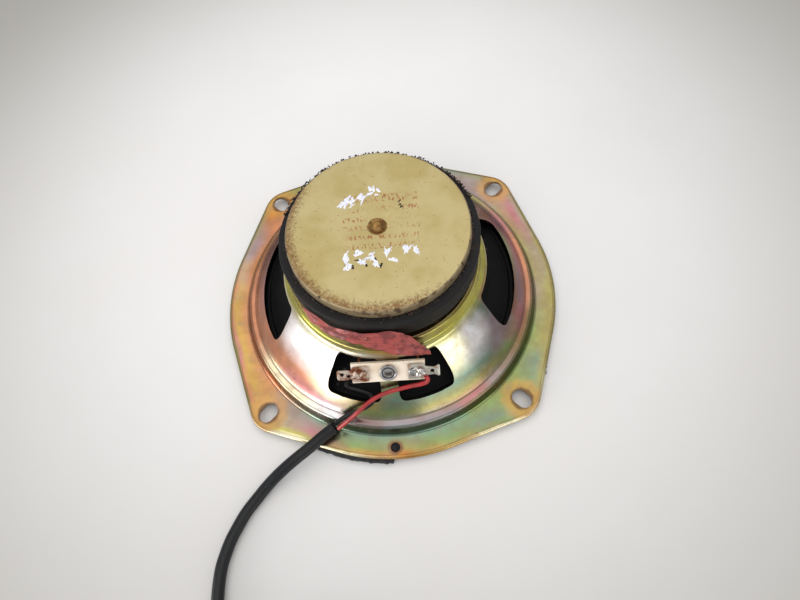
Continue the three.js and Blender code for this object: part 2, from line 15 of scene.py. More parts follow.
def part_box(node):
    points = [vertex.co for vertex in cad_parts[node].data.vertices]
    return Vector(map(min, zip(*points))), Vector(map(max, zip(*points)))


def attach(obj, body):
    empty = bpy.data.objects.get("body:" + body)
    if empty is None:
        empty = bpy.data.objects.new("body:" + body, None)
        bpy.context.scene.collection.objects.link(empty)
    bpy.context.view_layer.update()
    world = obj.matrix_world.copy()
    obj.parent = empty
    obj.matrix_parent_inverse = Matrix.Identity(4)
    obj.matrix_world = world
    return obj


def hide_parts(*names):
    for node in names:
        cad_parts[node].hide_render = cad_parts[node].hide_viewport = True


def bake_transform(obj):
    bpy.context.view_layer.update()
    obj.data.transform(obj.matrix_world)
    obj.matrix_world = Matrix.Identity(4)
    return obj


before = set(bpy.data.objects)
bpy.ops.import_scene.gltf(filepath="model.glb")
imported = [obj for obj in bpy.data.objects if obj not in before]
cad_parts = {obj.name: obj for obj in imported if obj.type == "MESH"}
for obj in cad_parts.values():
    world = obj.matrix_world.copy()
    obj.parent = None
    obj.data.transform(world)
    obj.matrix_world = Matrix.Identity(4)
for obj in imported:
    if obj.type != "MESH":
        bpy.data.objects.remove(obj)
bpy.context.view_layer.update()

log = logging.getLogger("loudspeaker")

MM = 0.001  # one millimetre, in metres
ROOT = "root"
MOVING = "moving_cone"
FLANGE_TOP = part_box("basket")[1].z / MM - 30.9  # height of the flange's back face
CORNERS = (45, 135, 225, 315)  # directions of the flange's four corners, degrees

Point2 = tuple[float, float]
Point3 = tuple[float, float, float]
Colour = tuple[float, float, float, float]


def tint(red: int, green: int, blue: int) -> Colour:
    """A display colour of 0 to 255 as the linear colour that shaders take."""
    def linear(value: int) -> float:
        share = value / 255
        return share / 12.92 if share <= 0.04045 else ((share + 0.055) / 1.055) ** 2.4
    return (linear(red), linear(green), linear(blue), 1.0)


# ---------------------------------------------------------------- shader tools
class Kit:
    """Adds and joins nodes in one node tree."""

    def __init__(self, tree: bpy.types.NodeTree) -> None:
        """Keeps the tree that the nodes go into."""
        self.tree = tree

    def add(self, kind: str, settings: dict | None = None, **inputs: object) -> bpy.types.Node:
        """Adds a node.

        Args:
            kind: Blender's name for the node type.
            settings: the node's own properties.
            inputs: values or sockets by input name, with _ for a space.

        Returns:
            The new node.
        """
        node = self.tree.nodes.new(kind)
        for name, value in (settings or {}).items():
            setattr(node, name, value)
        for name, value in inputs.items():
            self.feed(node.inputs[name.replace("_", " ")], value)
        return node

    def feed(self, socket: bpy.types.NodeSocket, value: object) -> None:
        """Joins a socket to another one, or sets its value."""
        if isinstance(value, bpy.types.NodeSocket):
            self.tree.links.new(value, socket)
        else:
            socket.default_value = value

    def maths(self, operation: str, first: object, second: object = 0.0) -> bpy.types.NodeSocket:
        """One sum on two values or sockets."""
        node = self.add("ShaderNodeMath", {"operation": operation})
        self.feed(node.inputs[0], first)
        self.feed(node.inputs[1], second)
        return node.outputs[0]

    def mix(self, mask: object, first: object, second: object) -> bpy.types.NodeSocket:
        """A colour between two, by a mask."""
        node = self.add("ShaderNodeMix", {"data_type": "RGBA"})
        for place, value in ((0, mask), (6, first), (7, second)):
            self.feed(node.inputs[place], value)
        return node.outputs[2]

    def spread(self, value: object, low: float, high: float, start: float,
               end: float) -> bpy.types.NodeSocket:
        """Maps low..high to start..end, smoothly and without passing either end."""
        node = self.add("ShaderNodeMapRange", {"interpolation_type": "SMOOTHSTEP"}, Value=value,
                        From_Min=low, From_Max=high, To_Min=start, To_Max=end)
        return node.outputs[0]

    def place(self) -> bpy.types.NodeSocket:
        """The piece's own coordinates, in metres."""
        return self.add("ShaderNodeTexCoord").outputs["Object"]


class Effect(Enum):
    """The shared surface effects."""

    PATCHES = "patches"
    SPECKS = "specks"
    GRAIN = "grain"
    WEAVE = "weave"


def group_sockets(tree: bpy.types.NodeTree, inputs: dict[str, float], output: str) -> tuple:
    """Gives a group its named inputs and its one output, and returns the two end nodes."""
    for name, value in inputs.items():
        tree.interface.new_socket(name, in_out="INPUT", socket_type="NodeSocketFloat").default_value = value
    tree.interface.new_socket(output, in_out="OUTPUT", socket_type="NodeSocketFloat")
    return tree.nodes.new("NodeGroupInput"), tree.nodes.new("NodeGroupOutput")


def build_effect(effect: Effect) -> bpy.types.NodeTree:
    """Builds one shared effect as a node group.

    Args:
        effect: which one.

    Returns:
        The node group. Its output is called Mask, or Height for grain and weave.
    """
    tree = bpy.data.node_groups.new(effect.value, "ShaderNodeTree")
    kit = Kit(tree)
    if effect is Effect.PATCHES:
        ends = group_sockets(tree, {"Scale": 60, "From": 0.45, "To": 0.6, "Detail": 4}, "Mask")
        cloud = kit.add("ShaderNodeTexNoise", Vector=kit.place(), Scale=ends[0].outputs["Scale"],
                        Detail=ends[0].outputs["Detail"], Roughness=0.6)
        shaped = kit.add("ShaderNodeMapRange", {"interpolation_type": "SMOOTHSTEP"},
                         Value=cloud.outputs[0], From_Min=ends[0].outputs["From"],
                         From_Max=ends[0].outputs["To"])
        result = shaped.outputs[0]
    elif effect is Effect.SPECKS:
        ends = group_sockets(tree, {"Scale": 400, "Size": 0.25, "Share": 0.5}, "Mask")
        cells = kit.add("ShaderNodeTexVoronoi", Vector=kit.place(), Scale=ends[0].outputs["Scale"])
        chance = kit.add("ShaderNodeSeparateColor", Color=cells.outputs["Color"])
        chosen = kit.maths("LESS_THAN", chance.outputs[0], ends[0].outputs["Share"])
        near = kit.maths("SUBTRACT", ends[0].outputs["Size"], cells.outputs["Distance"])
        soft = kit.spread(near, 0.0, 0.12, 0.0, 1.0)
        result = kit.maths("MULTIPLY", soft, chosen)
    elif effect is Effect.GRAIN:
        ends = group_sockets(tree, {"Scale": 900, "Roughness": 0.6}, "Height")
        fine = kit.add("ShaderNodeTexNoise", Vector=kit.place(), Scale=ends[0].outputs["Scale"],
                       Detail=5.0, Roughness=ends[0].outputs["Roughness"])
        result = fine.outputs[0]
    else:
        ends = group_sockets(tree, {"Threads": 300}, "Height")
        waves = []
        for direction in ("X", "Y"):
            wave = kit.add("ShaderNodeTexWave", {"bands_direction": direction}, Vector=kit.place(),
                           Scale=ends[0].outputs["Threads"], Distortion=0.4)
            waves.append(wave.outputs["Fac"])
        result = kit.maths("MULTIPLY", waves[0], waves[1])
    kit.feed(ends[1].inputs[0], result)
    return tree


EFFECTS = {effect: build_effect(effect) for effect in Effect}


def use_effect(kit: Kit, effect: Effect, **inputs: float) -> bpy.types.NodeSocket:
    """Places a shared effect in a material and returns its output."""
    node = kit.add("ShaderNodeGroup", {"node_tree": EFFECTS[effect]}, **inputs)
    return node.outputs[0]


@dataclass(frozen=True)
class Finish:
    """A surface: its colour, the patches and specks on it, its gloss and its fine relief."""

    name: str
    colour: Colour
    patch: Colour
    patch_scale: float = 80
    patch_from: float = 0.45
    patch_to: float = 0.65
    speck: Colour = (0.02, 0.012, 0.008, 1)
    speck_scale: float = 350
    speck_size: float = 0.25
    speck_share: float = 0.12
    roughness: float = 0.5
    patch_roughness: float = 0.65
    metallic: float = 0.0
    coat: float = 0.0
    specular: float = 0.5
    sheen: float = 0.0
    grain_scale: float = 900
    grain_height: float = 0.00004
    weave: float = 0.0

    def base(self, kit: Kit) -> tuple[bpy.types.NodeSocket, bpy.types.NodeSocket]:
        """The surface's colour and the mask of its patches."""
        patches = use_effect(kit, Effect.PATCHES, Scale=self.patch_scale, From=self.patch_from,
                             To=self.patch_to, Detail=5.0)
        specks = use_effect(kit, Effect.SPECKS, Scale=self.speck_scale, Size=self.speck_size,
                            Share=self.speck_share)
        return kit.mix(specks, kit.mix(patches, self.colour, self.patch), self.speck), patches

    def build(self) -> bpy.types.Material:
        """Makes the material.

        Returns:
            The material, with a Principled BSDF of its own.
        """
        material = bpy.data.materials.new(self.name)
        material.use_nodes = True
        kit = Kit(material.node_tree)
        shader = material.node_tree.nodes["Principled BSDF"]
        colour, patches = self.base(kit)
        kit.feed(shader.inputs["Base Color"], colour)
        rough = kit.spread(patches, 0.0, 1.0, self.roughness, self.patch_roughness)
        kit.feed(shader.inputs["Roughness"], rough)
        shader.inputs["Metallic"].default_value = self.metallic
        shader.inputs["Coat Weight"].default_value = self.coat
        shader.inputs["Specular IOR Level"].default_value = self.specular
        shader.inputs["Coat Roughness"].default_value = 0.2
        shader.inputs["Sheen Weight"].default_value = self.sheen
        height = use_effect(kit, Effect.GRAIN, Scale=self.grain_scale, Roughness=0.6)
        if self.weave:
            threads = use_effect(kit, Effect.WEAVE, Threads=self.weave)
            height = kit.maths("ADD", height, threads)
        bump = kit.add("ShaderNodeBump", Height=height, Strength=0.6, Distance=self.grain_height)
        kit.feed(shader.inputs["Normal"], bump.outputs["Normal"])
        return material


class Tone(Enum):
    """The colours that the chromated zinc takes as its film changes thickness; in the basket's tone rows the
    cream and pale tones are painted highlights and brown on the far side's wall is painted shade.
    """

    OLIVE = tint(150, 142, 88)
    LIME = tint(184, 178, 84)
    GREEN = tint(126, 142, 88)
    TEAL = tint(112, 138, 122)
    GOLD = tint(186, 152, 80)
    OCHRE = tint(186, 136, 70)
    ORANGE = tint(176, 112, 56)
    SALMON = tint(184, 124, 94)
    ROSE = tint(172, 112, 118)
    MAUVE = tint(132, 104, 112)
    LAVENDER = tint(146, 132, 138)
    GREY = tint(150, 138, 120)
    # brown: real browning round the pilot hole and in the mottle, and painted shade on the far side's wall in
    # the basket's tone rows
    BROWN = tint(112, 82, 60)
    DARK = tint(76, 54, 42)
    # painted highlights: the cream and pale tones stand for light caught on the near side's rim, risers and
    # wall
    CREAM = tint(240, 230, 190)
    PALE = tint(246, 240, 240)


TONES = "tones"


@dataclass(frozen=True)
class FilmFinish(Finish):
    """Chromated zinc: a thin film whose colour changes from place to place, browned round the holes, with
    painted highlights and painted shade in its tones.
    """

    hole: float = 0.048
    pilot: float = -0.0634

    def ring(self, kit: Kit, distance: bpy.types.NodeSocket, inner: float,
             outer: float) -> bpy.types.NodeSocket:
        """A mask that is 1 within inner of a point and fades to 0 at outer, with a ragged edge."""
        cloud = kit.add("ShaderNodeTexNoise", Vector=kit.place(), Scale=420, Detail=3.0)
        ragged = kit.maths("MULTIPLY", kit.maths("SUBTRACT", cloud.outputs[0], 0.5), outer - inner)
        return kit.spread(kit.maths("ADD", distance, ragged), inner, outer, 1.0, 0.0)

    def base(self, kit: Kit) -> tuple[bpy.types.NodeSocket, bpy.types.NodeSocket]:
        """The film's colour, from the piece's own tones with their painted highlights and shade, and the mask
        of the dull patches.
        """
        tone = kit.add("ShaderNodeAttribute", {"attribute_name": TONES}).outputs["Color"]
        flat = kit.add("ShaderNodeVectorMath", {"operation": "MULTIPLY"})
        kit.feed(flat.inputs[0], kit.place())
        flat.inputs[1].default_value = (1, 1, 0)
        folded = kit.add("ShaderNodeVectorMath", {"operation": "ABSOLUTE"})
        kit.feed(folded.inputs[0], flat.outputs[0])
        distances = []
        for source, spot in ((folded, (self.hole, self.hole, 0)), (flat, (0, self.pilot, 0))):
            gap = kit.add("ShaderNodeVectorMath", {"operation": "DISTANCE"})
            kit.feed(gap.inputs[0], source.outputs[0])
            gap.inputs[1].default_value = spot
            distances.append(gap.outputs["Value"])
        halo = kit.maths("MULTIPLY", self.ring(kit, distances[0], 0.0052, 0.0094), 0.6)
        colour = kit.mix(halo, tone, Tone.OCHRE.value)
        brown = kit.maths("MULTIPLY", self.ring(kit, distances[0], 0.0036, 0.0048), 0.8)
        colour = kit.mix(brown, colour, Tone.DARK.value)
        colour = kit.mix(self.ring(kit, distances[1], 0.0019, 0.0036), colour, Tone.BROWN.value)
        cloud = kit.add("ShaderNodeTexNoise", Vector=kit.place(), Scale=150, Detail=4.0, Roughness=0.6)
        shade = kit.spread(cloud.outputs[0], 0.35, 0.65, 0.0, 0.3)
        colour = kit.mix(shade, colour, Tone.BROWN.value)
        patches = use_effect(kit, Effect.PATCHES, Scale=self.patch_scale, From=self.patch_from,
                             To=self.patch_to, Detail=6.0)
        specks = use_effect(kit, Effect.SPECKS, Scale=self.speck_scale, Size=self.speck_size,
                            Share=self.speck_share)
        dulled = kit.mix(kit.maths("MULTIPLY", patches, 0.3), colour, self.patch)
        return kit.mix(specks, dulled, self.speck), patches


@dataclass(frozen=True)
class PlateFinish(Finish):
    """The back plate's face: aged plating, rust towards the edge and rows of worn-off print."""

    rim: float = 0.0313
    ink: Colour = tint(150, 84, 44)
    rust: Colour = tint(110, 66, 30)
    rows: tuple = ((11.6, 1.6), (7.0, 1.1), (3.0, 0.9), (-0.4, 0.9), (-4.0, 0.9), (-7.6, 1.0))
    row_centre: float = 1.2
    row_half: float = 13.0

    def base(self, kit: Kit) -> tuple[bpy.types.NodeSocket, bpy.types.NodeSocket]:
        """The plating's colour with its rust, dashes and print, and the mask of its patches."""
        colour, patches = super().base(kit)
        spot = kit.add("ShaderNodeSeparateXYZ", Vector=kit.place())
        x, y = spot.outputs[0], spot.outputs[1]
        flat = kit.add("ShaderNodeCombineXYZ", X=x, Y=y)
        away = kit.add("ShaderNodeVectorMath", {"operation": "LENGTH"})
        kit.feed(away.inputs[0], flat.outputs[0])
        edge = kit.spread(away.outputs["Value"], self.rim - 0.012, self.rim, 0.0, 1.0)
        side = kit.spread(kit.maths("ADD", x, y), -0.02, 0.03, 1.0, 0.25)
        grit = kit.add("ShaderNodeTexNoise", Vector=kit.place(), Scale=1100, Detail=4.0, Roughness=0.75)
        worn = kit.maths("ADD", kit.maths("MULTIPLY", edge, side), grit.outputs[0])
        colour = kit.mix(kit.spread(worn, 1.22, 1.6, 0.0, 0.85), colour, self.rust)
        stretched = kit.add("ShaderNodeMapping", Vector=kit.place(), Rotation=(0, 0, 0.35),
                            Scale=(300, 900, 1))
        dash = kit.add("ShaderNodeTexNoise", Vector=stretched.outputs[0], Scale=1.0, Detail=2.0)
        colour = kit.mix(kit.spread(dash.outputs[0], 0.70, 0.76, 0.0, 0.75), colour, self.rust)
        rows = None
        for height, half in self.rows:
            row = kit.maths("COMPARE", y, height * MM)
            row.node.inputs[2].default_value = half * MM
            rows = row if rows is None else kit.maths("MAXIMUM", rows, row)
        across = kit.maths("COMPARE", x, self.row_centre * MM)
        across.node.inputs[2].default_value = self.row_half * MM
        print_cells = kit.add("ShaderNodeMapping", Vector=kit.place(), Scale=(1300, 620, 1))
        strokes = kit.add("ShaderNodeTexNoise", Vector=print_cells.outputs[0], Scale=1.0, Detail=1.0)
        worn_off = kit.add("ShaderNodeTexNoise", Vector=kit.place(), Scale=90, Detail=2.0)
        stroke = kit.spread(strokes.outputs[0], 0.52, 0.58, 0.0, 1.0)
        left_over = kit.spread(worn_off.outputs[0], 0.42, 0.62, 0.15, 0.75)
        printed = kit.maths("MULTIPLY", rows, across)
        left = kit.maths("MULTIPLY", stroke, left_over)
        return kit.mix(kit.maths("MULTIPLY", printed, left), colour, self.ink), patches


@dataclass(frozen=True)
class TableFinish(Finish):
    """The table's top, with a painted pool of light: its colour darkens away from the middle as painted
    shade.
    """

    near: float = 0.07
    far: float = 0.29
    painted_shade: Colour = tint(156, 152, 144)

    def base(self, kit: Kit) -> tuple[bpy.types.NodeSocket, bpy.types.NodeSocket]:
        """The paint's colour, darkened away from the middle as painted shade, and the mask of its patches."""
        colour, patches = super().base(kit)
        # painted pool of light: the colour fades to the painted shade colour from near to far from the middle
        moved = kit.add("ShaderNodeMapping", Vector=kit.place(), Location=(0.003, -0.048, 0), Scale=(1, 1, 1))
        away = kit.add("ShaderNodeVectorMath", {"operation": "LENGTH"})
        kit.feed(away.inputs[0], moved.outputs[0])
        share = kit.spread(away.outputs["Value"], self.near, self.far, 0.0, 1.0)
        return kit.mix(share, colour, self.painted_shade), patches


ZINC = FilmFinish("zinc_film", tint(176, 160, 90), tint(150, 130, 110), patch_scale=220, patch_from=0.5,
                  patch_to=0.72, speck=tint(70, 45, 30), speck_scale=300, speck_size=0.13, speck_share=0.06,
                  roughness=0.25, patch_roughness=0.34, metallic=1.0, grain_scale=700, grain_height=0.00002)
BACK_PLATE = PlateFinish("aged_plate", tint(186, 169, 118), tint(176, 156, 98), patch_scale=70,
                         patch_from=0.35, patch_to=0.7, speck=tint(104, 70, 36), speck_scale=900,
                         speck_size=0.2,
                         speck_share=0.22, roughness=0.48, patch_roughness=0.55, metallic=0.4,
                         grain_scale=1200, grain_height=0.00006)
PLATE_SIDE = Finish("worn_steel", tint(150, 132, 100), tint(84, 62, 44), patch_scale=300, speck_share=0.3,
                    speck=tint(40, 25, 16), roughness=0.5, patch_roughness=0.8, metallic=0.6)
BRONZE = Finish("bronze_stud", tint(150, 114, 66), tint(104, 72, 40), patch_scale=400, roughness=0.3,
                patch_roughness=0.4, metallic=0.9, speck_share=0.1)
FERRITE = Finish("ferrite", tint(19, 16, 15), tint(48, 36, 31), patch_scale=110, patch_from=0.5, patch_to=0.8,
                 speck=tint(104, 62, 44), speck_scale=600, speck_size=0.16, speck_share=0.1, roughness=0.6,
                 patch_roughness=0.8, specular=0.25, grain_scale=1500, grain_height=0.0001)
CRUMBS = Finish("magnet_crumbs", tint(30, 26, 24), tint(70, 44, 28), patch_scale=900, roughness=0.8,
                speck_share=0.0)
PAPER = Finish("cone_paper", tint(14, 13, 13), tint(22, 20, 20), patch_scale=200, roughness=0.75,
               patch_roughness=0.85, speck_share=0.05, speck=tint(60, 56, 52), grain_scale=1400,
               grain_height=0.0001, specular=0.12)
CARD = Finish("grey_card", tint(48, 45, 42), tint(60, 56, 50), roughness=0.85, grain_height=0.00008)
CLOTH = Finish("doped_cloth", tint(14, 13, 14), tint(22, 20, 19), specular=0.15, roughness=0.6,
               patch_roughness=0.75,
               weave=420, grain_height=0.00012, speck_share=0.02)
SPIDER_CLOTH = Finish("resin_cloth", tint(150, 112, 60), tint(126, 90, 44), roughness=0.7, weave=420,
                      grain_height=0.00014, speck_share=0.02)
FOAM = Finish("gasket_foam", tint(44, 43, 44), tint(28, 27, 28), patch_scale=500, speck=tint(16, 15, 16),
              speck_scale=1400, speck_size=0.4, speck_share=0.5, roughness=0.95, patch_roughness=1.0,
              grain_scale=1600, grain_height=0.0003)
FIBRE = Finish("fibre_board", tint(234, 218, 198), tint(220, 200, 174), patch_scale=160, roughness=0.6,
               speck=tint(120, 96, 70), speck_share=0.06, speck_size=0.18, grain_height=0.00005)
STEEL = Finish("bright_steel", tint(172, 170, 168), tint(128, 122, 116), patch_scale=600, roughness=0.3,
               patch_roughness=0.45, metallic=1.0, speck_share=0.1)
TIN = Finish("stained_tin", tint(190, 184, 172), tint(150, 120, 90), patch_scale=420, patch_from=0.5,
             patch_to=0.7, roughness=0.35, metallic=0.9, speck=tint(90, 52, 28), speck_share=0.2,
             speck_scale=900)
RUSTY_TIN = Finish("rusty_tin", tint(196, 178, 162), tint(128, 70, 38), patch_scale=380, patch_from=0.41,
                   patch_to=0.57, roughness=0.4, patch_roughness=0.8, metallic=0.8, speck=tint(60, 30, 16),
                   speck_scale=900, speck_share=0.35, grain_height=0.0001)
SOLDER = Finish("solder", tint(208, 204, 198), tint(150, 128, 110), patch_scale=900, roughness=0.18,
                patch_roughness=0.4, metallic=1.0, speck_share=0.15, speck=tint(96, 60, 40), speck_scale=1200)
COPPER = Finish("copper_wire", tint(176, 104, 66), tint(130, 72, 46), patch_scale=800, roughness=0.35,
                metallic=1.0, speck_share=0.05)
TAPE = Finish("red_tape", tint(158, 66, 60), tint(112, 40, 38), patch_scale=240, patch_from=0.46,
              patch_to=0.6, speck=tint(196, 120, 96), speck_scale=500, speck_size=0.2, speck_share=0.14,
              roughness=0.38, patch_roughness=0.55, coat=0.25, grain_scale=420, grain_height=0.0004)
RED_PVC = Finish("red_insulation", tint(164, 30, 32), tint(140, 26, 26), patch_scale=300, roughness=0.32,
                 patch_roughness=0.42, coat=0.2, speck_share=0.02, grain_height=0.00002)
BLACK_PVC = Finish("black_insulation", tint(11, 11, 12), tint(18, 18, 19), patch_scale=260, roughness=0.36,
                   patch_roughness=0.48, specular=0.32, speck=tint(70, 66, 62), speck_share=0.04,
                   speck_scale=700, speck_size=0.14, grain_height=0.00004)
NYLON = Finish("nylon", tint(214, 212, 200), tint(200, 196, 180), patch_scale=120, roughness=0.4,
               speck_share=0.03, grain_height=0.00003)
TABLE = TableFinish("pale_table", tint(232, 229, 226), tint(229, 225, 221), patch_scale=9, patch_from=0.3,
                    patch_to=0.7, roughness=0.6, patch_roughness=0.64, speck=tint(190, 184, 178),
                    speck_scale=160, speck_size=0.05, speck_share=0.1, grain_scale=500, grain_height=0.00003)
PAINT = Finish("white_marker", tint(236, 236, 244), tint(214, 214, 232), patch_scale=900, roughness=0.6,
               speck=tint(120, 90, 60), speck_scale=1300, speck_size=0.3, speck_share=0.25)

FINISHES = (ZINC, BACK_PLATE, PLATE_SIDE, BRONZE, FERRITE, CRUMBS, PAPER, CARD, CLOTH, SPIDER_CLOTH, FOAM,
            FIBRE, STEEL, TIN, RUSTY_TIN, SOLDER, COPPER, TAPE, RED_PVC, BLACK_PVC, NYLON, TABLE, PAINT)
MATERIALS = {finish.name: finish.build() for finish in FINISHES}


# ---------------------------------------------------------------- shape tools
def rounded(points: Sequence[tuple], closed: bool = False, steps: int = 5) -> list[Point2]:
    """Rounds the corners of an outline.

    Args:
        points: (a, b) for a sharp corner or (a, b, reach) for one rounded over that reach.
        closed: whether the last point joins the first.
        steps: pieces in each rounded corner.

    Returns:
        The outline as plain points.
    """
    result: list[Point2] = []
    count = len(points)
    for i, point in enumerate(points):
        corner = Vector(point[:2])
        ends = not closed and i in (0, count - 1)
        if len(point) == 2 or ends:
            result.append((corner.x, corner.y))
            continue
        before = Vector(points[i - 1][:2]) - corner
        after = Vector(points[(i + 1) % count][:2]) - corner
        start = corner + before.normalized() * min(point[2], before.length * 0.48)
        end = corner + after.normalized() * min(point[2], after.length * 0.48)
        for k in range(steps + 1):
            share = k / steps
            bend = start.lerp(corner, share).lerp(corner.lerp(end, share), share)
            result.append((bend.x, bend.y))
    return result


def divided(line: Sequence[Point2], gap: float) -> list[Point2]:
    """Divides the long pieces of a line so that no point is more than gap from the next."""
    result = [line[0]]
    for start, end in zip(line, line[1:]):
        count = max(1, math.ceil(math.dist(start, end) / gap))
        result += [(start[0] + (end[0] - start[0]) * k / count, start[1] + (end[1] - start[1]) * k / count)
                   for k in range(1, count + 1)]
    return result


def to_object(name: str, shape: bmesh.types.BMesh, place: Matrix | None = None) -> bpy.types.Object:
    """Turns a bmesh in millimetres into an object in metres at the origin.

    Args:
        name: the piece's name.
        shape: the bmesh, which is freed.
        place: where the shape goes, in millimetres.

    Returns:
        The new object, smooth with sharp creases kept.
    """
    bmesh.ops.transform(shape, matrix=Matrix.Scale(MM, 4) @ (place or Matrix()), verts=shape.verts)
    bmesh.ops.recalc_face_normals(shape, faces=shape.faces)
    mesh = bpy.data.meshes.new(name)
    shape.to_mesh(mesh)
    shape.free()
    piece = bpy.data.objects.new(name, mesh)
    bpy.context.scene.collection.objects.link(piece)
    smooth(piece)
    return piece


def smooth(piece: bpy.types.Object, crease: float = 32) -> None:
    """Shades a piece smooth, apart from edges sharper than crease degrees."""
    piece.data.shade_smooth()
    piece.data.set_sharp_from_angle(angle=math.radians(crease))


def settle(piece: bpy.types.Object) -> None:
    """Applies a piece's modifiers to its mesh."""
    graph = bpy.context.evaluated_depsgraph_get()
    mesh = bpy.data.meshes.new_from_object(piece.evaluated_get(graph))
    piece.modifiers.clear()
    piece.data = mesh


def spun(outline: Sequence[Point2], segments: int = 160) -> bmesh.types.BMesh:
    """Spins an outline of (radius, height) about Z.

    Args:
        outline: closed on itself, or starting and ending on the axis.
        segments: steps in the full turn.

    Returns:
        A closed shape in millimetres.
    """
    shape = bmesh.new()
    verts = [shape.verts.new((radius, 0, height)) for radius, height in outline]
    edges = [shape.edges.new(pair) for pair in zip(verts, verts[1:])]
    if outline[0][0] > 0 or outline[-1][0] > 0:
        edges.append(shape.edges.new((verts[-1], verts[0])))
    bmesh.ops.spin(shape, geom=verts + edges, cent=(0, 0, 0), axis=(0, 0, 1), angle=math.tau,
                   steps=segments, use_merge=True, use_duplicate=False)
    bmesh.ops.remove_doubles(shape, verts=shape.verts, dist=1e-4)
    return shape


def sheet_outline(line: Sequence[Point2], thickness: float) -> list[Point2]:
    """Gives a line of (radius, height) a thickness on its lower side, as a closed outline."""
    under = []
    for i, (radius, height) in enumerate(line):
        ahead = Vector(line[min(i + 1, len(line) - 1)])
        behind = Vector(line[max(i - 1, 0)])
        along = (ahead - behind).normalized()
        side = Vector((-along.y, along.x)) if along.x < 0 else Vector((along.y, -along.x))
        under.append((radius + side.x * thickness, height + side.y * thickness))
    return list(line) + under[::-1]


def prism(outline: Sequence[Point2], bottom: float, top: float, bevel: float = 0.0) -> bmesh.types.BMesh:
    """A flat outline raised from bottom to top, in millimetres, with its edges bevelled."""
    shape = bmesh.new()
    face = shape.faces.new([shape.verts.new((x, y, bottom)) for x, y in outline])
    raised = bmesh.ops.extrude_face_region(shape, geom=[face])
    verts = [item for item in raised["geom"] if isinstance(item, bmesh.types.BMVert)]
    bmesh.ops.translate(shape, verts=verts, vec=(0, 0, top - bottom))
    bmesh.ops.recalc_face_normals(shape, faces=shape.faces)
    if bevel:
        soften(shape, bevel)
    return shape


def block(size: Point3, centre: Point3, bevel: float = 0.0) -> bmesh.types.BMesh:
    """A box of that size about a centre, with its edges bevelled."""
    shape = bmesh.new()
    bmesh.ops.create_cube(shape, size=1)
    place = Matrix.Translation(centre) @ Matrix.Diagonal((*size, 1))
    bmesh.ops.transform(shape, matrix=place, verts=shape.verts)
    if bevel:
        soften(shape, bevel)
    return shape


def rod(radius: float, bottom: float, top: float, centre: Point2 = (0, 0),
        segments: int = 48) -> bmesh.types.BMesh:
    """A plain cylinder along Z, used as a cutter."""
    shape = bmesh.new()
    bmesh.ops.create_cone(shape, cap_ends=True, segments=segments, radius1=radius, radius2=radius,
                          depth=top - bottom)
    bmesh.ops.translate(shape, verts=shape.verts, vec=(*centre, (top + bottom) / 2))
    return shape


def soften(shape: bmesh.types.BMesh, width: float, segments: int = 2, angle: float = 30) -> None:
    """Bevels every edge sharper than angle degrees."""
    sharp = [e for e in shape.edges if len(e.link_faces) == 2 and e.calc_face_angle(0) > math.radians(angle)]
    bmesh.ops.bevel(shape, geom=sharp, offset=width, offset_type="OFFSET", affect="EDGES",
                    segments=segments, profile=0.5, material=-1, clamp_overlap=True)


def cut(piece: bpy.types.Object, cutters: Iterable[bmesh.types.BMesh], place: Matrix | None = None) -> None:
    """Cuts shapes, in millimetres, out of a piece.

    Args:
        piece: what is cut.
        cutters: closed shapes that don't touch each other; they are freed.
        place: where the cutters go, in millimetres.
    """
    joined = bmesh.new()
    for shape in cutters:
        mesh = bpy.data.meshes.new("cutter")
        shape.to_mesh(mesh)
        shape.free()
        joined.from_mesh(mesh)
        bpy.data.meshes.remove(mesh)
    tool = to_object("cutter", joined, place)
    modifier = piece.modifiers.new("cut", "BOOLEAN")
    modifier.operation = "DIFFERENCE"
    modifier.solver = "EXACT"
    modifier.object = tool
    settle(piece)
    bpy.data.objects.remove(tool)
    smooth(piece)


def roughen(piece: bpy.types.Object, size: float, height: float, seed: float = 0.0) -> None:
    """Moves a piece's points along their normals by smooth noise.

    Args:
        piece: a mesh piece.
        size: width of the lumps, in millimetres.
        height: how far a point may move, in millimetres.
        seed: shifts the noise.
    """
    for vertex in piece.data.vertices:
        spot = vertex.co / (size * MM) + Vector((seed, seed, seed))
        vertex.co += vertex.normal * (noise.noise(spot) * height * MM)


def finish_piece(piece: bpy.types.Object, finish: Finish, nodes: Sequence[str] = (),
                 body: str | None = ROOT) -> bpy.types.Object:
    """Gives a piece its material, place in the frame and body, and reports it.

    Args:
        piece: the piece.
        finish: its surface.
        nodes: the CAD nodes that it stands for.
        body: the body that it rides on, or None for a piece that bends, which rides on no body.

    Returns:
        The same piece.
    """
    piece.data.materials.clear()
    piece.data.materials.append(MATERIALS[finish.name])
    if nodes:
        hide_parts(*nodes)
    if body:
        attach(piece, body)
    log.info("%s: %s", piece.name, finish.name)
    return piece


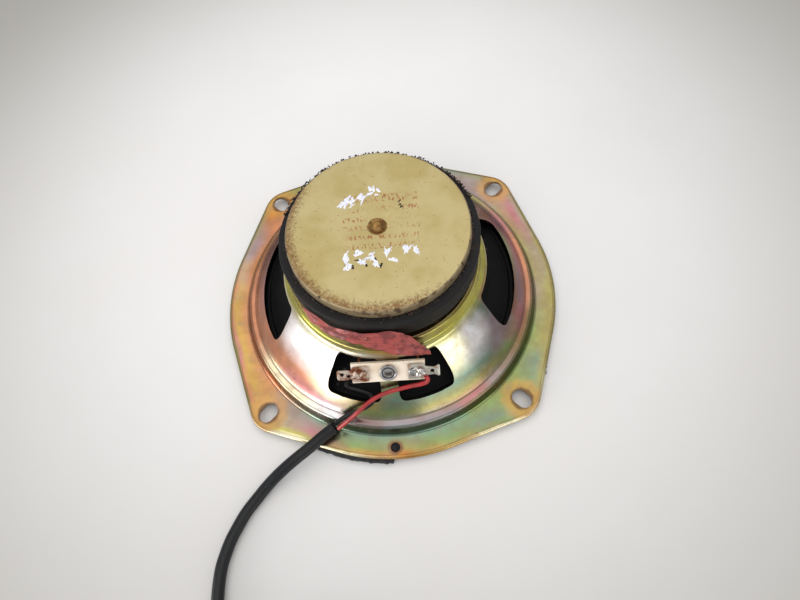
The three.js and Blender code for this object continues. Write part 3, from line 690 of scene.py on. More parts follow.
# ---------------------------------------------------------------- basket
@dataclass
class Basket:
    """The pressed steel basket: flange, risers, wall with four windows, neck and seat."""

    side_radius: float = 67.5
    corner_reach: float = 63.7
    corner_radius: float = 10.6
    sheet: float = 0.9
    rim_drop: float = 1.9
    rim_bend: float = 1.0
    screw_circle: float = 67.9
    slot_length: float = 7.8
    slot_width: float = 5.6
    pilot: Point2 = (0.0, -63.4)
    pilot_radius: float = 1.75
    window_inner: float = 38.0
    window_outer: float = 49.7
    inner_half_angle: float = 27.0
    outer_half_angle: float = 29.5
    strut_left: float = -3.3
    strut_right: float = 3.0
    stake_radius: float = 1.7
    stake_head: float = 1.1
    segments: int = 288
    ring_gap: float = 1.4
    # back face from the flange inwards: radius, height above the flange, rounding
    profile: tuple = (
        (61.4, 0), (59.0, 0, 1.1), (57.4, 4.3, 0.9), (56.7, 4.95, 0.6), (54.5, 5.0, 0.9), (52.3, 7.5, 0.9),
        (38.4, 24.6, 1.2), (37.2, 26.4, 1.0), (35.9, 27.0, 0.8), (34.8, 30.2, 0.5), (34.0, 30.9, 0.4),
        (22, 30.9),
    )
    # tones by direction, from the flange's edge inwards to the neck; the cream and pale tones on the near
    # side are painted highlights, and the brown on the far side's wall is painted shade
    tones: dict[int, str] = field(default_factory=lambda: {
        -180: "OLIVE SALMON GOLD SALMON SALMON SALMON ROSE BROWN LAVENDER LIME",
        -160: "OLIVE ROSE GOLD SALMON SALMON SALMON SALMON GREY PALE LIME",
        -145: "OLIVE SALMON GOLD SALMON CREAM SALMON SALMON PALE PALE LIME",
        -130: "CREAM LIME LAVENDER GREY CREAM ROSE SALMON PALE PALE LIME",
        -116: "CREAM OLIVE ROSE TEAL PALE MAUVE CREAM PALE PALE OLIVE",
        -103: "CREAM GOLD GREEN TEAL MAUVE GREEN GOLD CREAM PALE OLIVE",
        -89: "OCHRE ORANGE OLIVE TEAL LAVENDER GREEN TEAL GREEN TEAL OCHRE",
        -74: "GOLD OLIVE GREEN TEAL LAVENDER OLIVE TEAL GOLD CREAM OLIVE",
        -58: "CREAM GREEN TEAL GREEN ROSE OLIVE TEAL CREAM CREAM LIME",
        -44: "CREAM OLIVE GREEN GREEN LAVENDER OLIVE TEAL PALE PALE LIME",
        -32: "OLIVE OLIVE TEAL GREEN BROWN GREEN LAVENDER LAVENDER TEAL LIME",
        -20: "OLIVE OLIVE OLIVE GREEN BROWN ROSE BROWN MAUVE ROSE LIME",
        -5: "OLIVE OLIVE OLIVE GREY SALMON MAUVE BROWN BROWN MAUVE LIME",
        15: "OLIVE OLIVE GREY OLIVE SALMON ROSE GREEN BROWN BROWN LIME",
        30: "OLIVE GREY ROSE OLIVE ROSE MAUVE ROSE BROWN BROWN LIME",
        48: "ORANGE OLIVE GREY LAVENDER OLIVE MAUVE ROSE BROWN BROWN OLIVE",
        65: "OLIVE TEAL LAVENDER LAVENDER OLIVE GREY BROWN BROWN BROWN OLIVE",
        90: "OLIVE OLIVE TEAL LAVENDER OLIVE ROSE BROWN BROWN BROWN OLIVE",
        120: "OLIVE OLIVE GREEN ROSE BROWN SALMON BROWN BROWN BROWN OLIVE",
        140: "OLIVE OLIVE ORANGE SALMON BROWN SALMON BROWN BROWN BROWN OLIVE",
        158: "GREEN GREY LAVENDER ORANGE BROWN ROSE BROWN BROWN GREY LIME",
    })
    bands: tuple = (58.9, 55.6, 52.6, 49.5, 44.0, 39.5, 36.5)
    drift_size: float = 9.0
    drift_turn: float = 7.0
    drift_reach: float = 1.3
    seat_edge: float = 34.6

    def reach(self, direction: float, inset: float = 0.0) -> float:
        """Distance from the centre to the flange's outline in a direction.

        Args:
            direction: angle about Z, in radians.
            inset: how far inside the outline.

        Returns:
            The radius, in millimetres.
        """
        side = self.side_radius - inset
        corner = self.corner_radius - inset
        spread = math.acos((side - corner) / self.corner_reach)
        turn = abs((direction - math.pi / 4) % (math.pi / 2))
        turn = min(turn, math.pi / 2 - turn)
        arc_end = math.atan2(corner * math.sin(spread), self.corner_reach + corner * math.cos(spread))
        if turn >= spread:
            return side
        if turn > arc_end:
            return side / math.cos(spread - turn)
        across = self.corner_reach * math.sin(turn)
        return self.corner_reach * math.cos(turn) + math.sqrt(corner * corner - across * across)

    def extend(self, shape: bmesh.types.BMesh, rim: list[bmesh.types.BMEdge], inset: float,
               height: float) -> list[bmesh.types.BMEdge]:
        """Extrudes the rim to one more loop, which follows the flange's outline.

        Args:
            shape: the basket's bmesh.
            rim: the edges of its present rim.
            inset: how far inside the outline.
            height: the loop's height.

        Returns:
            The new rim's edges.
        """
        added = bmesh.ops.extrude_edge_only(shape, edges=rim)["geom"]
        loop = {item for item in added if isinstance(item, bmesh.types.BMVert)}
        for vertex in loop:
            direction = math.atan2(vertex.co.y, vertex.co.x)
            radius = self.reach(direction, inset)
            vertex.co = (radius * math.cos(direction), radius * math.sin(direction), height)
        return [item for item in added if isinstance(item, bmesh.types.BMEdge) and set(item.verts) <= loop]

    def shell(self) -> bpy.types.Object:
        """Spins the profile, joins the flange to it and gives the sheet its thickness."""
        back = divided(rounded(self.profile), self.ring_gap)
        line = [(radius, FLANGE_TOP + height) for radius, height in back]
        shape = bmesh.new()
        verts = [shape.verts.new((radius, 0, height)) for radius, height in line]
        edges = [shape.edges.new(pair) for pair in zip(verts, verts[1:])]
        bmesh.ops.spin(shape, geom=verts + edges, cent=(0, 0, 0), axis=(0, 0, 1), angle=math.tau,
                       steps=self.segments, use_merge=True, use_duplicate=False)
        outer = line[0][0]
        rim = [e for e in shape.edges if e.is_boundary and e.verts[0].co.xy.length > outer - 0.1]
        bend = self.rim_bend
        turns = [(bend * (1 - math.sin(a)), -bend * (1 - math.cos(a))) for a in
                 [math.radians(d) for d in (0, 22.5, 45, 67.5, 90)]]
        drops = [(4.4, 0), (3.4, 0), (2.4, 0), (1.7, 0), (1.25, 0)] + turns + [(0.0, -self.rim_drop)]
        for inset, height in drops:
            rim = self.extend(shape, rim, inset, FLANGE_TOP + height)
        piece = to_object("basket_pressing", shape)
        solid = piece.modifiers.new("sheet", "SOLIDIFY")
        solid.thickness = self.sheet * MM
        solid.offset = -1
        settle(piece)
        return piece

    def window(self, low: float | None, high: float | None) -> list[Point2]:
        """A window's outline in plan, on the near side.

        Args:
            low: x of a straight left side, or None for the window's own slanted side.
            high: x of a straight right side, or None.

        Returns:
            The outline, in millimetres.
        """
        def at(radius: float, degrees: float) -> Point2:
            turn = math.radians(degrees)
            return radius * math.sin(turn), -radius * math.cos(turn)

        def limit(radius: float, half: float, edge: float | None, sign: int) -> float:
            return sign * half if edge is None else math.degrees(math.asin(edge / radius))

        inner = [limit(self.window_inner, self.inner_half_angle, e, s) for e, s in ((low, -1), (high, 1))]
        outer = [limit(self.window_outer, self.outer_half_angle, e, s) for e, s in ((low, -1), (high, 1))]
        slip = 8.0
        arc = [outer[0] + slip + (outer[1] - outer[0] - 2 * slip) * k / 12 for k in range(13)]
        back = [inner[1] - 5 - (inner[1] - inner[0] - 10) * k / 8 for k in range(9)]
        points: list[tuple] = [(*at(self.window_outer, outer[0]), 5.4 if low is None else 3.0)]
        points += [at(self.window_outer, degrees) for degrees in arc]
        points += [(*at(self.window_outer, outer[1]), 5.4 if high is None else 3.0)]
        points += [(*at(self.window_inner, inner[1]), 2.6 if high is None else 1.4)]
        points += [at(self.window_inner, degrees) for degrees in back]
        points += [(*at(self.window_inner, inner[0]), 2.6 if low is None else 1.4)]
        return rounded(points, closed=True, steps=8)

    def cutters(self) -> list[bmesh.types.BMesh]:
        """Shapes of the windows, the screw slots and the pilot hole."""
        bottom, top = FLANGE_TOP + 3, FLANGE_TOP + 34
        shapes = [prism(self.window(None, self.strut_left), bottom, top)]
        shapes.append(prism(self.window(self.strut_right, None), bottom, top))
        for degrees in (90, 180, 270):
            shape = prism(self.window(None, None), bottom, top)
            bmesh.ops.rotate(shape, verts=shape.verts, matrix=Matrix.Rotation(math.radians(degrees), 3, "Z"))
            shapes.append(shape)
        radius = self.slot_width / 2
        half = self.slot_length / 2 - radius
        ends = [(half * side + radius * math.cos(a + turn), radius * math.sin(a + turn))
                for side, turn in ((1, -math.pi / 2), (-1, math.pi / 2))
                for a in [math.pi * k / 16 for k in range(17)]]
        for degrees in CORNERS:
            shape = prism(ends, 0, FLANGE_TOP + 2)
            turn = Matrix.Rotation(math.radians(degrees), 4, "Z")
            place = turn @ Matrix.Translation((self.screw_circle, 0, 0))
            bmesh.ops.transform(shape, matrix=place, verts=shape.verts)
            shapes.append(shape)
        shapes.append(rod(self.pilot_radius, 0, FLANGE_TOP + 2, self.pilot))
        return shapes

    def band_tone(self, row: str, places: Sequence[float], radius: float) -> Vector:
        """The colour at a radius in one row of tones."""
        colours = [Vector(Tone[name].value) for name in row.split()]
        if radius >= places[0]:
            return colours[0]
        for i in range(len(places) - 1):
            if radius > places[i + 1]:
                return colours[i].lerp(colours[i + 1], (places[i] - radius) / (places[i] - places[i + 1]))
        return colours[-1]

    def tone(self, spot: Vector) -> Vector:
        """The film's colour at a point of the basket, in metres, painted highlights and shade included."""
        place = spot / (self.drift_size * MM)
        drift = Vector((noise.noise(place), noise.noise(place + Vector((9, 9, 9)))))
        radius = spot.xy.length / MM
        direction = math.atan2(spot.y, spot.x)
        edge = self.reach(direction)
        places = (edge - 0.7, edge - 1.3, (edge + 60) / 2 + 0.4, *self.bands)
        on_flange = 1.0 if radius > 60 else 0.35
        reach = radius + drift.x * self.drift_reach * on_flange if radius < edge - 1 else radius
        degrees = (math.degrees(direction) + drift.y * self.drift_turn + 180) % 360 - 180
        angles = sorted(self.tones)
        low = max(angle for angle in angles if angle <= degrees)
        high = next((angle for angle in angles if angle > degrees), 180)
        share = (degrees - low) / (high - low)
        share = share * share * (3 - 2 * share)
        first = self.band_tone(self.tones[low], places, reach)
        second = self.band_tone(self.tones[-180 if high == 180 else high], places, reach)
        dark = Vector(Tone.DARK.value)
        outline = 0.6 * max(0.0, 1 - abs(edge - 1.25 - radius) / 0.4)
        # painted shade: inside seat_edge the film is darkened towards DARK, on the neck's top under the
        # magnet's edge
        seat = 0.75 if radius < self.seat_edge else 0.0
        return first.lerp(second, share).lerp(dark, max(outline, seat))

    def build(self) -> None:
        """Makes the basket and the four stakes that hold the front plate to it."""
        piece = self.shell()
        cut(piece, self.cutters())
        attribute = piece.data.attributes.new(TONES, "FLOAT_COLOR", "POINT")
        values = [value for vertex in piece.data.vertices for value in self.tone(vertex.co)]
        attribute.data.foreach_set("color", values)
        finish_piece(piece, ZINC, ["basket"])
        for i in range(len(CORNERS)):
            self.stake(f"plate_stake_{i + 1}")

    def stake(self, node: str) -> None:
        """Makes one stake where the CAD node lies: a domed head and a shank."""
        low, high = (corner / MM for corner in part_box(node))
        head = (high.x - low.x) / 2
        neck, shank = low.z + self.stake_head, self.stake_radius
        line = rounded([(0, low.z), (head, low.z, 0.6), (head, neck), (shank, neck), (shank, high.z),
                        (0, high.z)])
        place = Matrix.Translation(((low.x + high.x) / 2, (low.y + high.y) / 2, 0))
        finish_piece(to_object(f"{node}_forged", spun(line, 40), place), STEEL, [node])


# ---------------------------------------------------------------- magnet system
@dataclass
class MarkerFlecks:
    """What is left of white marker strokes on the back plate: clusters of flecks, with no letters in them."""

    # centre, strokes, stroke length and stroke direction in degrees
    clusters: tuple = (
        ((-11.0, 10.6), 5, 4.2, 75), ((-8.2, 9.8), 4, 3.6, 20), ((-5.2, 12.0), 4, 3.4, 50),
        ((-1.6, 14.4), 4, 3.2, 80),
        ((0.4, 13.6), 2, 2.4, 10), ((-10.8, -11.0), 4, 3.4, 60), ((-10.0, -14.6), 4, 2.6, 10),
        ((-6.6, -10.4), 5, 2.2, 30), ((-5.4, -13.8), 5, 2.0, 120), ((-2.2, -11.0), 4, 2.4, 40),
        ((-0.6, -13.6), 5, 2.0, 100), ((3.0, -9.6), 4, 2.8, 120), ((4.4, -13.0), 3, 2.4, 20),
        ((9.6, -9.0), 4, 3.0, 60),
        ((12.4, -10.0), 3, 3.4, 110),
    )
    blots: tuple = ((-7.0, -12.4), (-4.0, -14.6), (-1.2, -12.2), (0.8, -15.0), (-8.6, -14.8), (7.2, 9.4),
                    (8.2, 7.6))
    blot_size: Point2 = (0.5, 0.36)
    width: float = 0.34
    seed: int = 5

    def build(self) -> None:
        """Makes the flecks and the dark blots between them, flat on the plate's face."""
        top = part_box("back_plate")[1].z / MM
        draw = random.Random(self.seed)
        flecks, blots = bmesh.new(), bmesh.new()
        for (x, y), count, length, degrees in self.clusters:
            for _ in range(count):
                turn = math.radians(degrees + draw.gauss(0, 28))
                middle = (x + draw.uniform(-0.9, 0.9), y + draw.uniform(-1.2, 1.2))
                size = (length * draw.uniform(0.35, 0.6), self.width * draw.uniform(0.7, 1.5))
                self.fleck(flecks, middle, size, turn, top)
        for x, y in self.blots:
            for _ in range(3):
                middle = (x + draw.uniform(-0.5, 0.5), y + draw.uniform(-0.5, 0.5))
                self.fleck(blots, middle, self.blot_size, draw.uniform(0, math.pi), top)
        finish_piece(to_object("marker_flecks", flecks), PAINT)
        finish_piece(to_object("plate_blots", blots), CRUMBS)

    def fleck(self, shape: bmesh.types.BMesh, middle: Point2, size: Point2, turn: float, top: float) -> None:
        """Adds one flat ragged fleck."""
        verts = bmesh.ops.create_icosphere(shape, subdivisions=3, radius=1)["verts"]
        flat = Matrix.Diagonal((*size, 0.05, 1))
        place = Matrix.Translation((*middle, top)) @ Matrix.Rotation(turn, 4, "Z") @ flat
        bmesh.ops.transform(shape, matrix=place, verts=verts)
        for vertex in verts:
            spot = vertex.co * 1.7
            vertex.co.x += 0.55 * noise.noise(spot)
            vertex.co.y += 0.55 * noise.noise(spot + Vector((5, 5, 5)))


@dataclass
class MagnetSystem:
    """Front plate, magnet, back plate, pole piece and the dirt that clings to the magnet."""

    front_bore: float = 13.9
    magnet_bore: float = 16.0
    pole_radius: float = 11.9
    stud_radius: float = 3.25
    crumbs: int = 620
    seed: int = 11

    def disc(self, node: str, bore: float, edge: float, finish: Finish,
             lumps: float) -> bpy.types.Object:
        """Makes a turned ring in a CAD node's place.

        Args:
            node: the CAD node.
            bore: radius of its hole.
            edge: rounding of its outer edges.
            finish: its surface.
            lumps: height of the unevenness on it.

        Returns:
            The ring.
        """
        low, high = (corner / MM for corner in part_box(node))
        outer = high.x
        line = rounded([(bore, low.z), (outer, low.z, edge), (outer, (low.z + high.z) / 2),
                        (outer, high.z, edge), (outer - 2.5, high.z), (bore, high.z)], closed=True)
        piece = to_object(f"{node}_ring", spun(line, 192))
        roughen(piece, 6.0, lumps)
        return finish_piece(piece, finish, [node])

    def back_plate(self) -> None:
        """Makes the back plate, its worn side and the flat face of its own finish."""
        low, high = (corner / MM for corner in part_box("back_plate"))
        bore = self.stud_radius + 0.06
        top = high.x - 0.3
        line = rounded([(bore, low.z), (high.x, low.z, 0.3), (top, high.z - 0.1, 0.7), (top - 1.4, high.z),
                        (22, high.z), (12, high.z), (bore, high.z, 0.12), (bore, high.z - 1.2)], closed=True)
        piece = to_object("back_plate_disc", spun(line, 192))
        finish_piece(piece, BACK_PLATE, ["back_plate"])
        piece.data.materials.append(MATERIALS[PLATE_SIDE.name])
        for polygon in piece.data.polygons:
            rim = polygon.center.xy.length / MM > top - 0.55
            polygon.material_index = int(rim and polygon.center.z / MM < high.z - 0.12)

    def pole(self) -> None:
        """Makes the pole piece, with the dished end that shows in the back plate."""
        low, high = (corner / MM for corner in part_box("pole_piece"))
        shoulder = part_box("magnet")[1].z / MM
        stud, body = self.stud_radius, self.pole_radius
        line = rounded([(0, low.z), (body, low.z, 0.6), (body, shoulder, 0.3), (stud, shoulder),
                        (stud, high.z, 0.25), (stud - 0.5, high.z - 0.2, 0.4), (1.5, high.z - 1.15, 1.2),
                        (0, high.z - 1.4)])
        finish_piece(to_object("pole_piece_turned", spun(line, 96)), BRONZE, ["pole_piece"])

    def dirt(self) -> None:
        """Scatters small crumbs of dirt and filings along the magnet's upper edge."""
        low, high = (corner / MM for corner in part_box("magnet"))
        draw = random.Random(self.seed)
        joined = bmesh.new()
        for _ in range(self.crumbs):
            far_side = draw.random() < 0.55
            degrees = draw.uniform(20, 165) if far_side else draw.uniform(165, 380)
            turn = math.radians(degrees)
            radius = draw.uniform(33.4, 34.8) if far_side else draw.uniform(31.6, 32.5)
            lift = draw.uniform(0.1, 1.0) if far_side else draw.uniform(0.0, 0.3)
            rise = high.z + lift - max(0.0, radius - 34.3)
            size = draw.uniform(0.12, 0.42)
            crumb = bmesh.ops.create_icosphere(joined, subdivisions=1, radius=size)["verts"]
            sides = (draw.uniform(0.7, 1.5), draw.uniform(0.6, 1.2), draw.uniform(0.5, 1.0))
            stretch = Matrix.Diagonal((*sides, 1))
            spot = Matrix.Translation((radius * math.cos(turn), radius * math.sin(turn), rise))
            spin = Matrix.Rotation(draw.uniform(0, math.tau), 4, "Z")
            bmesh.ops.transform(joined, matrix=spot @ spin @ stretch, verts=crumb)
        finish_piece(to_object("magnet_crumbs", joined), CRUMBS)

    def build(self) -> None:
        """Makes the magnet system from the basket's seat to the back plate."""
        self.disc("front_plate", self.front_bore, 0.5, PLATE_SIDE, 0.05)
        self.disc("magnet", self.magnet_bore, 0.9, FERRITE, 0.22)
        self.back_plate()
        self.pole()
        self.dirt()


# ---------------------------------------------------------------- moving system
@dataclass
class MovingSystem:
    """Cone, dust cap and voice coil, with the surround and the spider that carry them."""

    cone_inner: float = 13.0
    cone_outer: float = 47.2
    cone_foot: float = 11.9
    cone_neck: float = 25.0
    cone_bow: float = 0.4
    rib_height: float = 0.28
    paper: float = 0.6
    surround_height: float = 7.4
    surround_foot: float = 11.5
    surround_wave: float = 0.42
    surround_cloth: float = 0.5
    spider_half: float = 0.4
    spider_wave: float = 0.45
    spider_waves: int = 5
    spider_cloth: float = 0.35
    landing_inner: float = 54.6
    landing_edge: float = 0.2

    def cone_height(self, radius: float) -> float:
        """Height of the cone's middle surface at a radius."""
        share = (self.cone_outer - radius) / (self.cone_outer - self.cone_inner)
        straight = self.cone_foot + (self.cone_neck - self.cone_foot) * share
        return straight + self.cone_bow * math.sin(math.pi * share)

    def cone(self) -> None:
        """Makes the cone, with its pressed ribs."""
        line = []
        steps = 96
        for k in range(steps + 1):
            radius = self.cone_outer + (self.cone_inner - self.cone_outer) * k / steps
            rib = max(0.0, math.cos((radius - 24) * math.tau / 5.2) - 0.55) if 22 < radius < 44 else 0.0
            line.append((radius, self.cone_height(radius) + self.paper / 2 + rib * self.rib_height))
        piece = to_object("cone_paper", spun(sheet_outline(line, self.paper), 160))
        finish_piece(piece, PAPER, ["cone"], MOVING)

    def dust_cap(self) -> None:
        """Makes the domed dust cap."""
        low, high = (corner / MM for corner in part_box("dust_cap"))
        radius = high.x
        rise = high.z - 0.5 - low.z
        line = [(radius * k / 24, low.z + 0.5 + rise * (k / 24) ** 2) for k in range(24, -1, -1)]
        closed = sheet_outline(line, 0.5)
        line_out = [(max(0.0, r), z) for r, z in closed]
        line_out[24] = (0, line_out[24][1])
        line_out[25] = (0, line_out[25][1])
        outline = line_out[25:] + line_out[:25]
        piece = to_object("dust_cap_dome", spun(outline, 96))
        finish_piece(piece, PAPER, ["dust_cap"], MOVING)

    def tube(self, node: str, name: str, finish: Finish, slot: str, wall: float, waves: int = 0) -> None:
        """Makes a thin ring in a CAD node's place, with turns of wire if it has waves."""
        low, high = (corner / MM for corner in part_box(node))
        inner = high.x - wall
        outside = [(high.x, low.z), (high.x, high.z)]
        if waves:
            swing, steps, rise = 0.08, 4 * waves, high.z - low.z
            outside = [(high.x - swing + swing * math.sin(math.tau * k / 4), low.z + rise * k / steps)
                       for k in range(steps + 1)]
        piece = to_object(name, spun([(inner, low.z), *outside, (inner, high.z)], 128))
        finish_piece(piece, finish, [node], MOVING)

    def surround(self) -> None:
        """Makes the pleated surround, which bends between the basket and the cone."""
        height, foot = self.surround_height, self.surround_foot
        line: list[Point2] = [(56.4, height), (54.6, height), (53.5, height)]
        steps = 40
        for k in range(1, steps + 1):
            share = k / steps
            wave = self.surround_wave * math.sin(math.tau * 2 * share)
            line.append((53.5 - 6.0 * share, height + (foot - height) * share + wave))
        line.append((46.8, foot + 0.15))
        lifted = [(radius, z + self.surround_cloth) for radius, z in line]
        piece = to_object("surround_cloth", spun(sheet_outline(lifted, self.surround_cloth), 160))
        finish_piece(piece, CLOTH, ["surround"], None)
        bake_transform(piece)

    def spider(self) -> None:
        """Makes the corrugated spider, which bends between the basket and the former."""
        low, high = (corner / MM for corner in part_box("spider"))
        neck, landing = low.z + self.spider_half, high.z - self.spider_half
        line: list[Point2] = [(12.95, neck), (14.5, neck)]
        steps = 100
        for k in range(steps + 1):
            share = k / steps
            wave = self.spider_wave * math.sin(math.tau * self.spider_waves * share)
            line.append((15.5 + 18.5 * share, neck + (landing - neck) * share + wave))
        line.append((36, landing))
        piece = to_object("spider_cloth", spun(sheet_outline(line, self.spider_cloth), 128))
        finish_piece(piece, SPIDER_CLOTH, ["spider"], None)
        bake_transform(piece)

    def landing_ring(self) -> None:
        """Makes the card ring that the surround is glued to."""
        low, high = (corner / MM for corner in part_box("landing_ring"))
        inner, soft = self.landing_inner, self.landing_edge
        line = rounded([(inner, low.z, soft), (high.x, low.z, soft), (high.x, high.z, soft),
                        (inner, high.z, soft)], closed=True)
        finish_piece(to_object("landing_card", spun(line, 160)), CARD, ["landing_ring"])

    def eyelets(self) -> None:
        """Makes the two eyelets in the cone."""
        for side in ("left", "right"):
            node = f"cone_eyelet_{side}"
            low, high = (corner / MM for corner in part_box(node))
            well = high.z - 0.4
            line = rounded([(0, low.z), (1.6, low.z, 0.2), (1.5, high.z, 0.5), (0.8, high.z, 0.3),
                            (0.5, well), (0, well)])
            place = Matrix.Translation(((low.x + high.x) / 2, (low.y + high.y) / 2, 0))
            piece = to_object(f"{node}_pressed", spun(line, 32), place)
            finish_piece(piece, COPPER, [node], MOVING)

    def build(self) -> None:
        """Makes every piece that moves with the cone or bends with it."""
        self.cone()
        self.dust_cap()
        self.tube("voice_coil_former", "former_tube", CARD, "former", 0.25)
        self.tube("voice_coil_winding", "winding_turns", COPPER, "copper", 0.45, waves=26)
        self.surround()
        self.spider()
        self.landing_ring()
        self.eyelets()


# ---------------------------------------------------------------- gasket and tape
@dataclass
class Gasket:
    """The foam strip glued under the flange, squeezed out past the rim in two places."""

    inner: float = 59.9
    outer: float = 65.6
    notch: float = 5.2

    def bulge(self, degrees: float) -> float:
        """How far the strip stands past its usual edge in a direction."""
        near = 3.0 if -117 < degrees < -91 else 0.0
        corner = 4.6 * max(0.0, 1 - abs(degrees + 33) / 9)
        ragged = 0.5 * noise.noise(Vector((degrees * 0.8, 0, 0)))
        return near + corner + (ragged if near or corner else 0.15 * ragged)

    def build(self) -> None:
        """Makes the strip, with its notches at the screw slots."""
        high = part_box("front_gasket")[1].z / MM
        middle = (self.inner + self.outer) / 2
        line = rounded([(self.inner, 0, 0.5), (middle, 0), (self.outer, 0, 0.5), (self.outer, high / 2),
                        (self.outer, high, 0.4), (middle, high), (self.inner, high, 0.4)], closed=True)
        piece = to_object("gasket_strip", spun(line, 360))
        for vertex in piece.data.vertices:
            radius = vertex.co.xy.length / MM
            if radius > middle:
                push = self.bulge(math.degrees(math.atan2(vertex.co.y, vertex.co.x)))
                share = (radius - middle) / (self.outer - middle)
                scale = (radius + push * share) / radius
                vertex.co.x *= scale
                vertex.co.y *= scale
        cut(piece, [rod(self.notch, -2, high + 2, (67.3 * math.cos(a), 67.3 * math.sin(a)))
                    for a in [math.radians(d) for d in CORNERS]])
        for vertex in piece.data.vertices:
            if 0.3 < vertex.co.z / MM < high - 0.3:
                ragged = noise.noise(vertex.co / (0.8 * MM))
                vertex.co.xy *= 1 + 0.004 * ragged
        finish_piece(piece, FOAM, ["front_gasket"])


@dataclass
class SealingTape:
    """A creased strip of tape, stuck to the magnet's side and hanging over the neck."""

    # direction in degrees, then radius and height above the flange for the upper and the lower edge
    edges: tuple = (
        (-139.5, 34.9, 40.6, 35.2, 39.6), (-136, 34.9, 41.8, 35.5, 39.2), (-130, 34.9, 43.0, 36.0, 38.3),
        (-126, 34.95, 43.8, 36.2, 37.0), (-121, 35.0, 41.6, 36.3, 35.9), (-116, 35.0, 41.2, 36.3, 36.2),
        (-110, 35.0, 41.4, 36.4, 36.6), (-105, 35.0, 42.3, 36.4, 35.5), (-100, 35.0, 43.0, 36.5, 34.2),
        (-93, 35.0, 43.5, 37.2, 32.8), (-86, 35.1, 43.6, 38.0, 31.2), (-80, 35.7, 42.0, 38.6, 28.6),
        (-76, 36.3, 38.6, 39.0, 27.4), (-72, 37.8, 33.6, 39.5, 26.6), (-68, 39.4, 27.6, 39.8, 26.2),
    )
    thickness: float = 0.28
    across: int = 10

    def build(self) -> None:
        """Bridges the two edges, creases the strip and gives it its thickness."""
        shape = bmesh.new()
        rows = []
        for upper in (True, False):
            row = []
            for degrees, top_r, top_z, low_r, low_z in self.edges:
                turn = math.radians(degrees)
                radius, height = (top_r, top_z) if upper else (low_r, low_z)
                spot = (radius * math.cos(turn), radius * math.sin(turn), FLANGE_TOP + height)
                row.append(shape.verts.new(spot))
            rows.append([shape.edges.new(pair) for pair in zip(row, row[1:])])
        bridge = bmesh.ops.bridge_loops(shape, edges=rows[0] + rows[1])
        rungs = list(bridge["edges"])
        bmesh.ops.subdivide_edges(shape, edges=rungs, cuts=self.across, use_grid_fill=True)
        along = [e for e in shape.edges if e not in rungs]
        bmesh.ops.subdivide_edges(shape, edges=along, cuts=2, use_grid_fill=True)
        for vertex in shape.verts:
            spot = vertex.co
            outward = Vector((spot.x, spot.y, 0)).normalized()
            crease = noise.noise(Vector((spot.x * 0.16, spot.y * 0.16, spot.z * 0.8)))
            fine = noise.noise(spot * 0.9)
            vertex.co = spot + outward * (0.5 + 0.75 * crease + 0.22 * fine)
        piece = to_object("sealing_tape_strip", shape)
        solid = piece.modifiers.new("thickness", "SOLIDIFY")
        solid.thickness = self.thickness * MM
        solid.offset = 0
        rounder = piece.modifiers.new("smoothing", "SUBSURF")
        rounder.levels = 2
        rounder.render_levels = 2
        settle(piece)
        smooth(piece, 60)
        finish_piece(piece, TAPE, ["sealing_tape"])


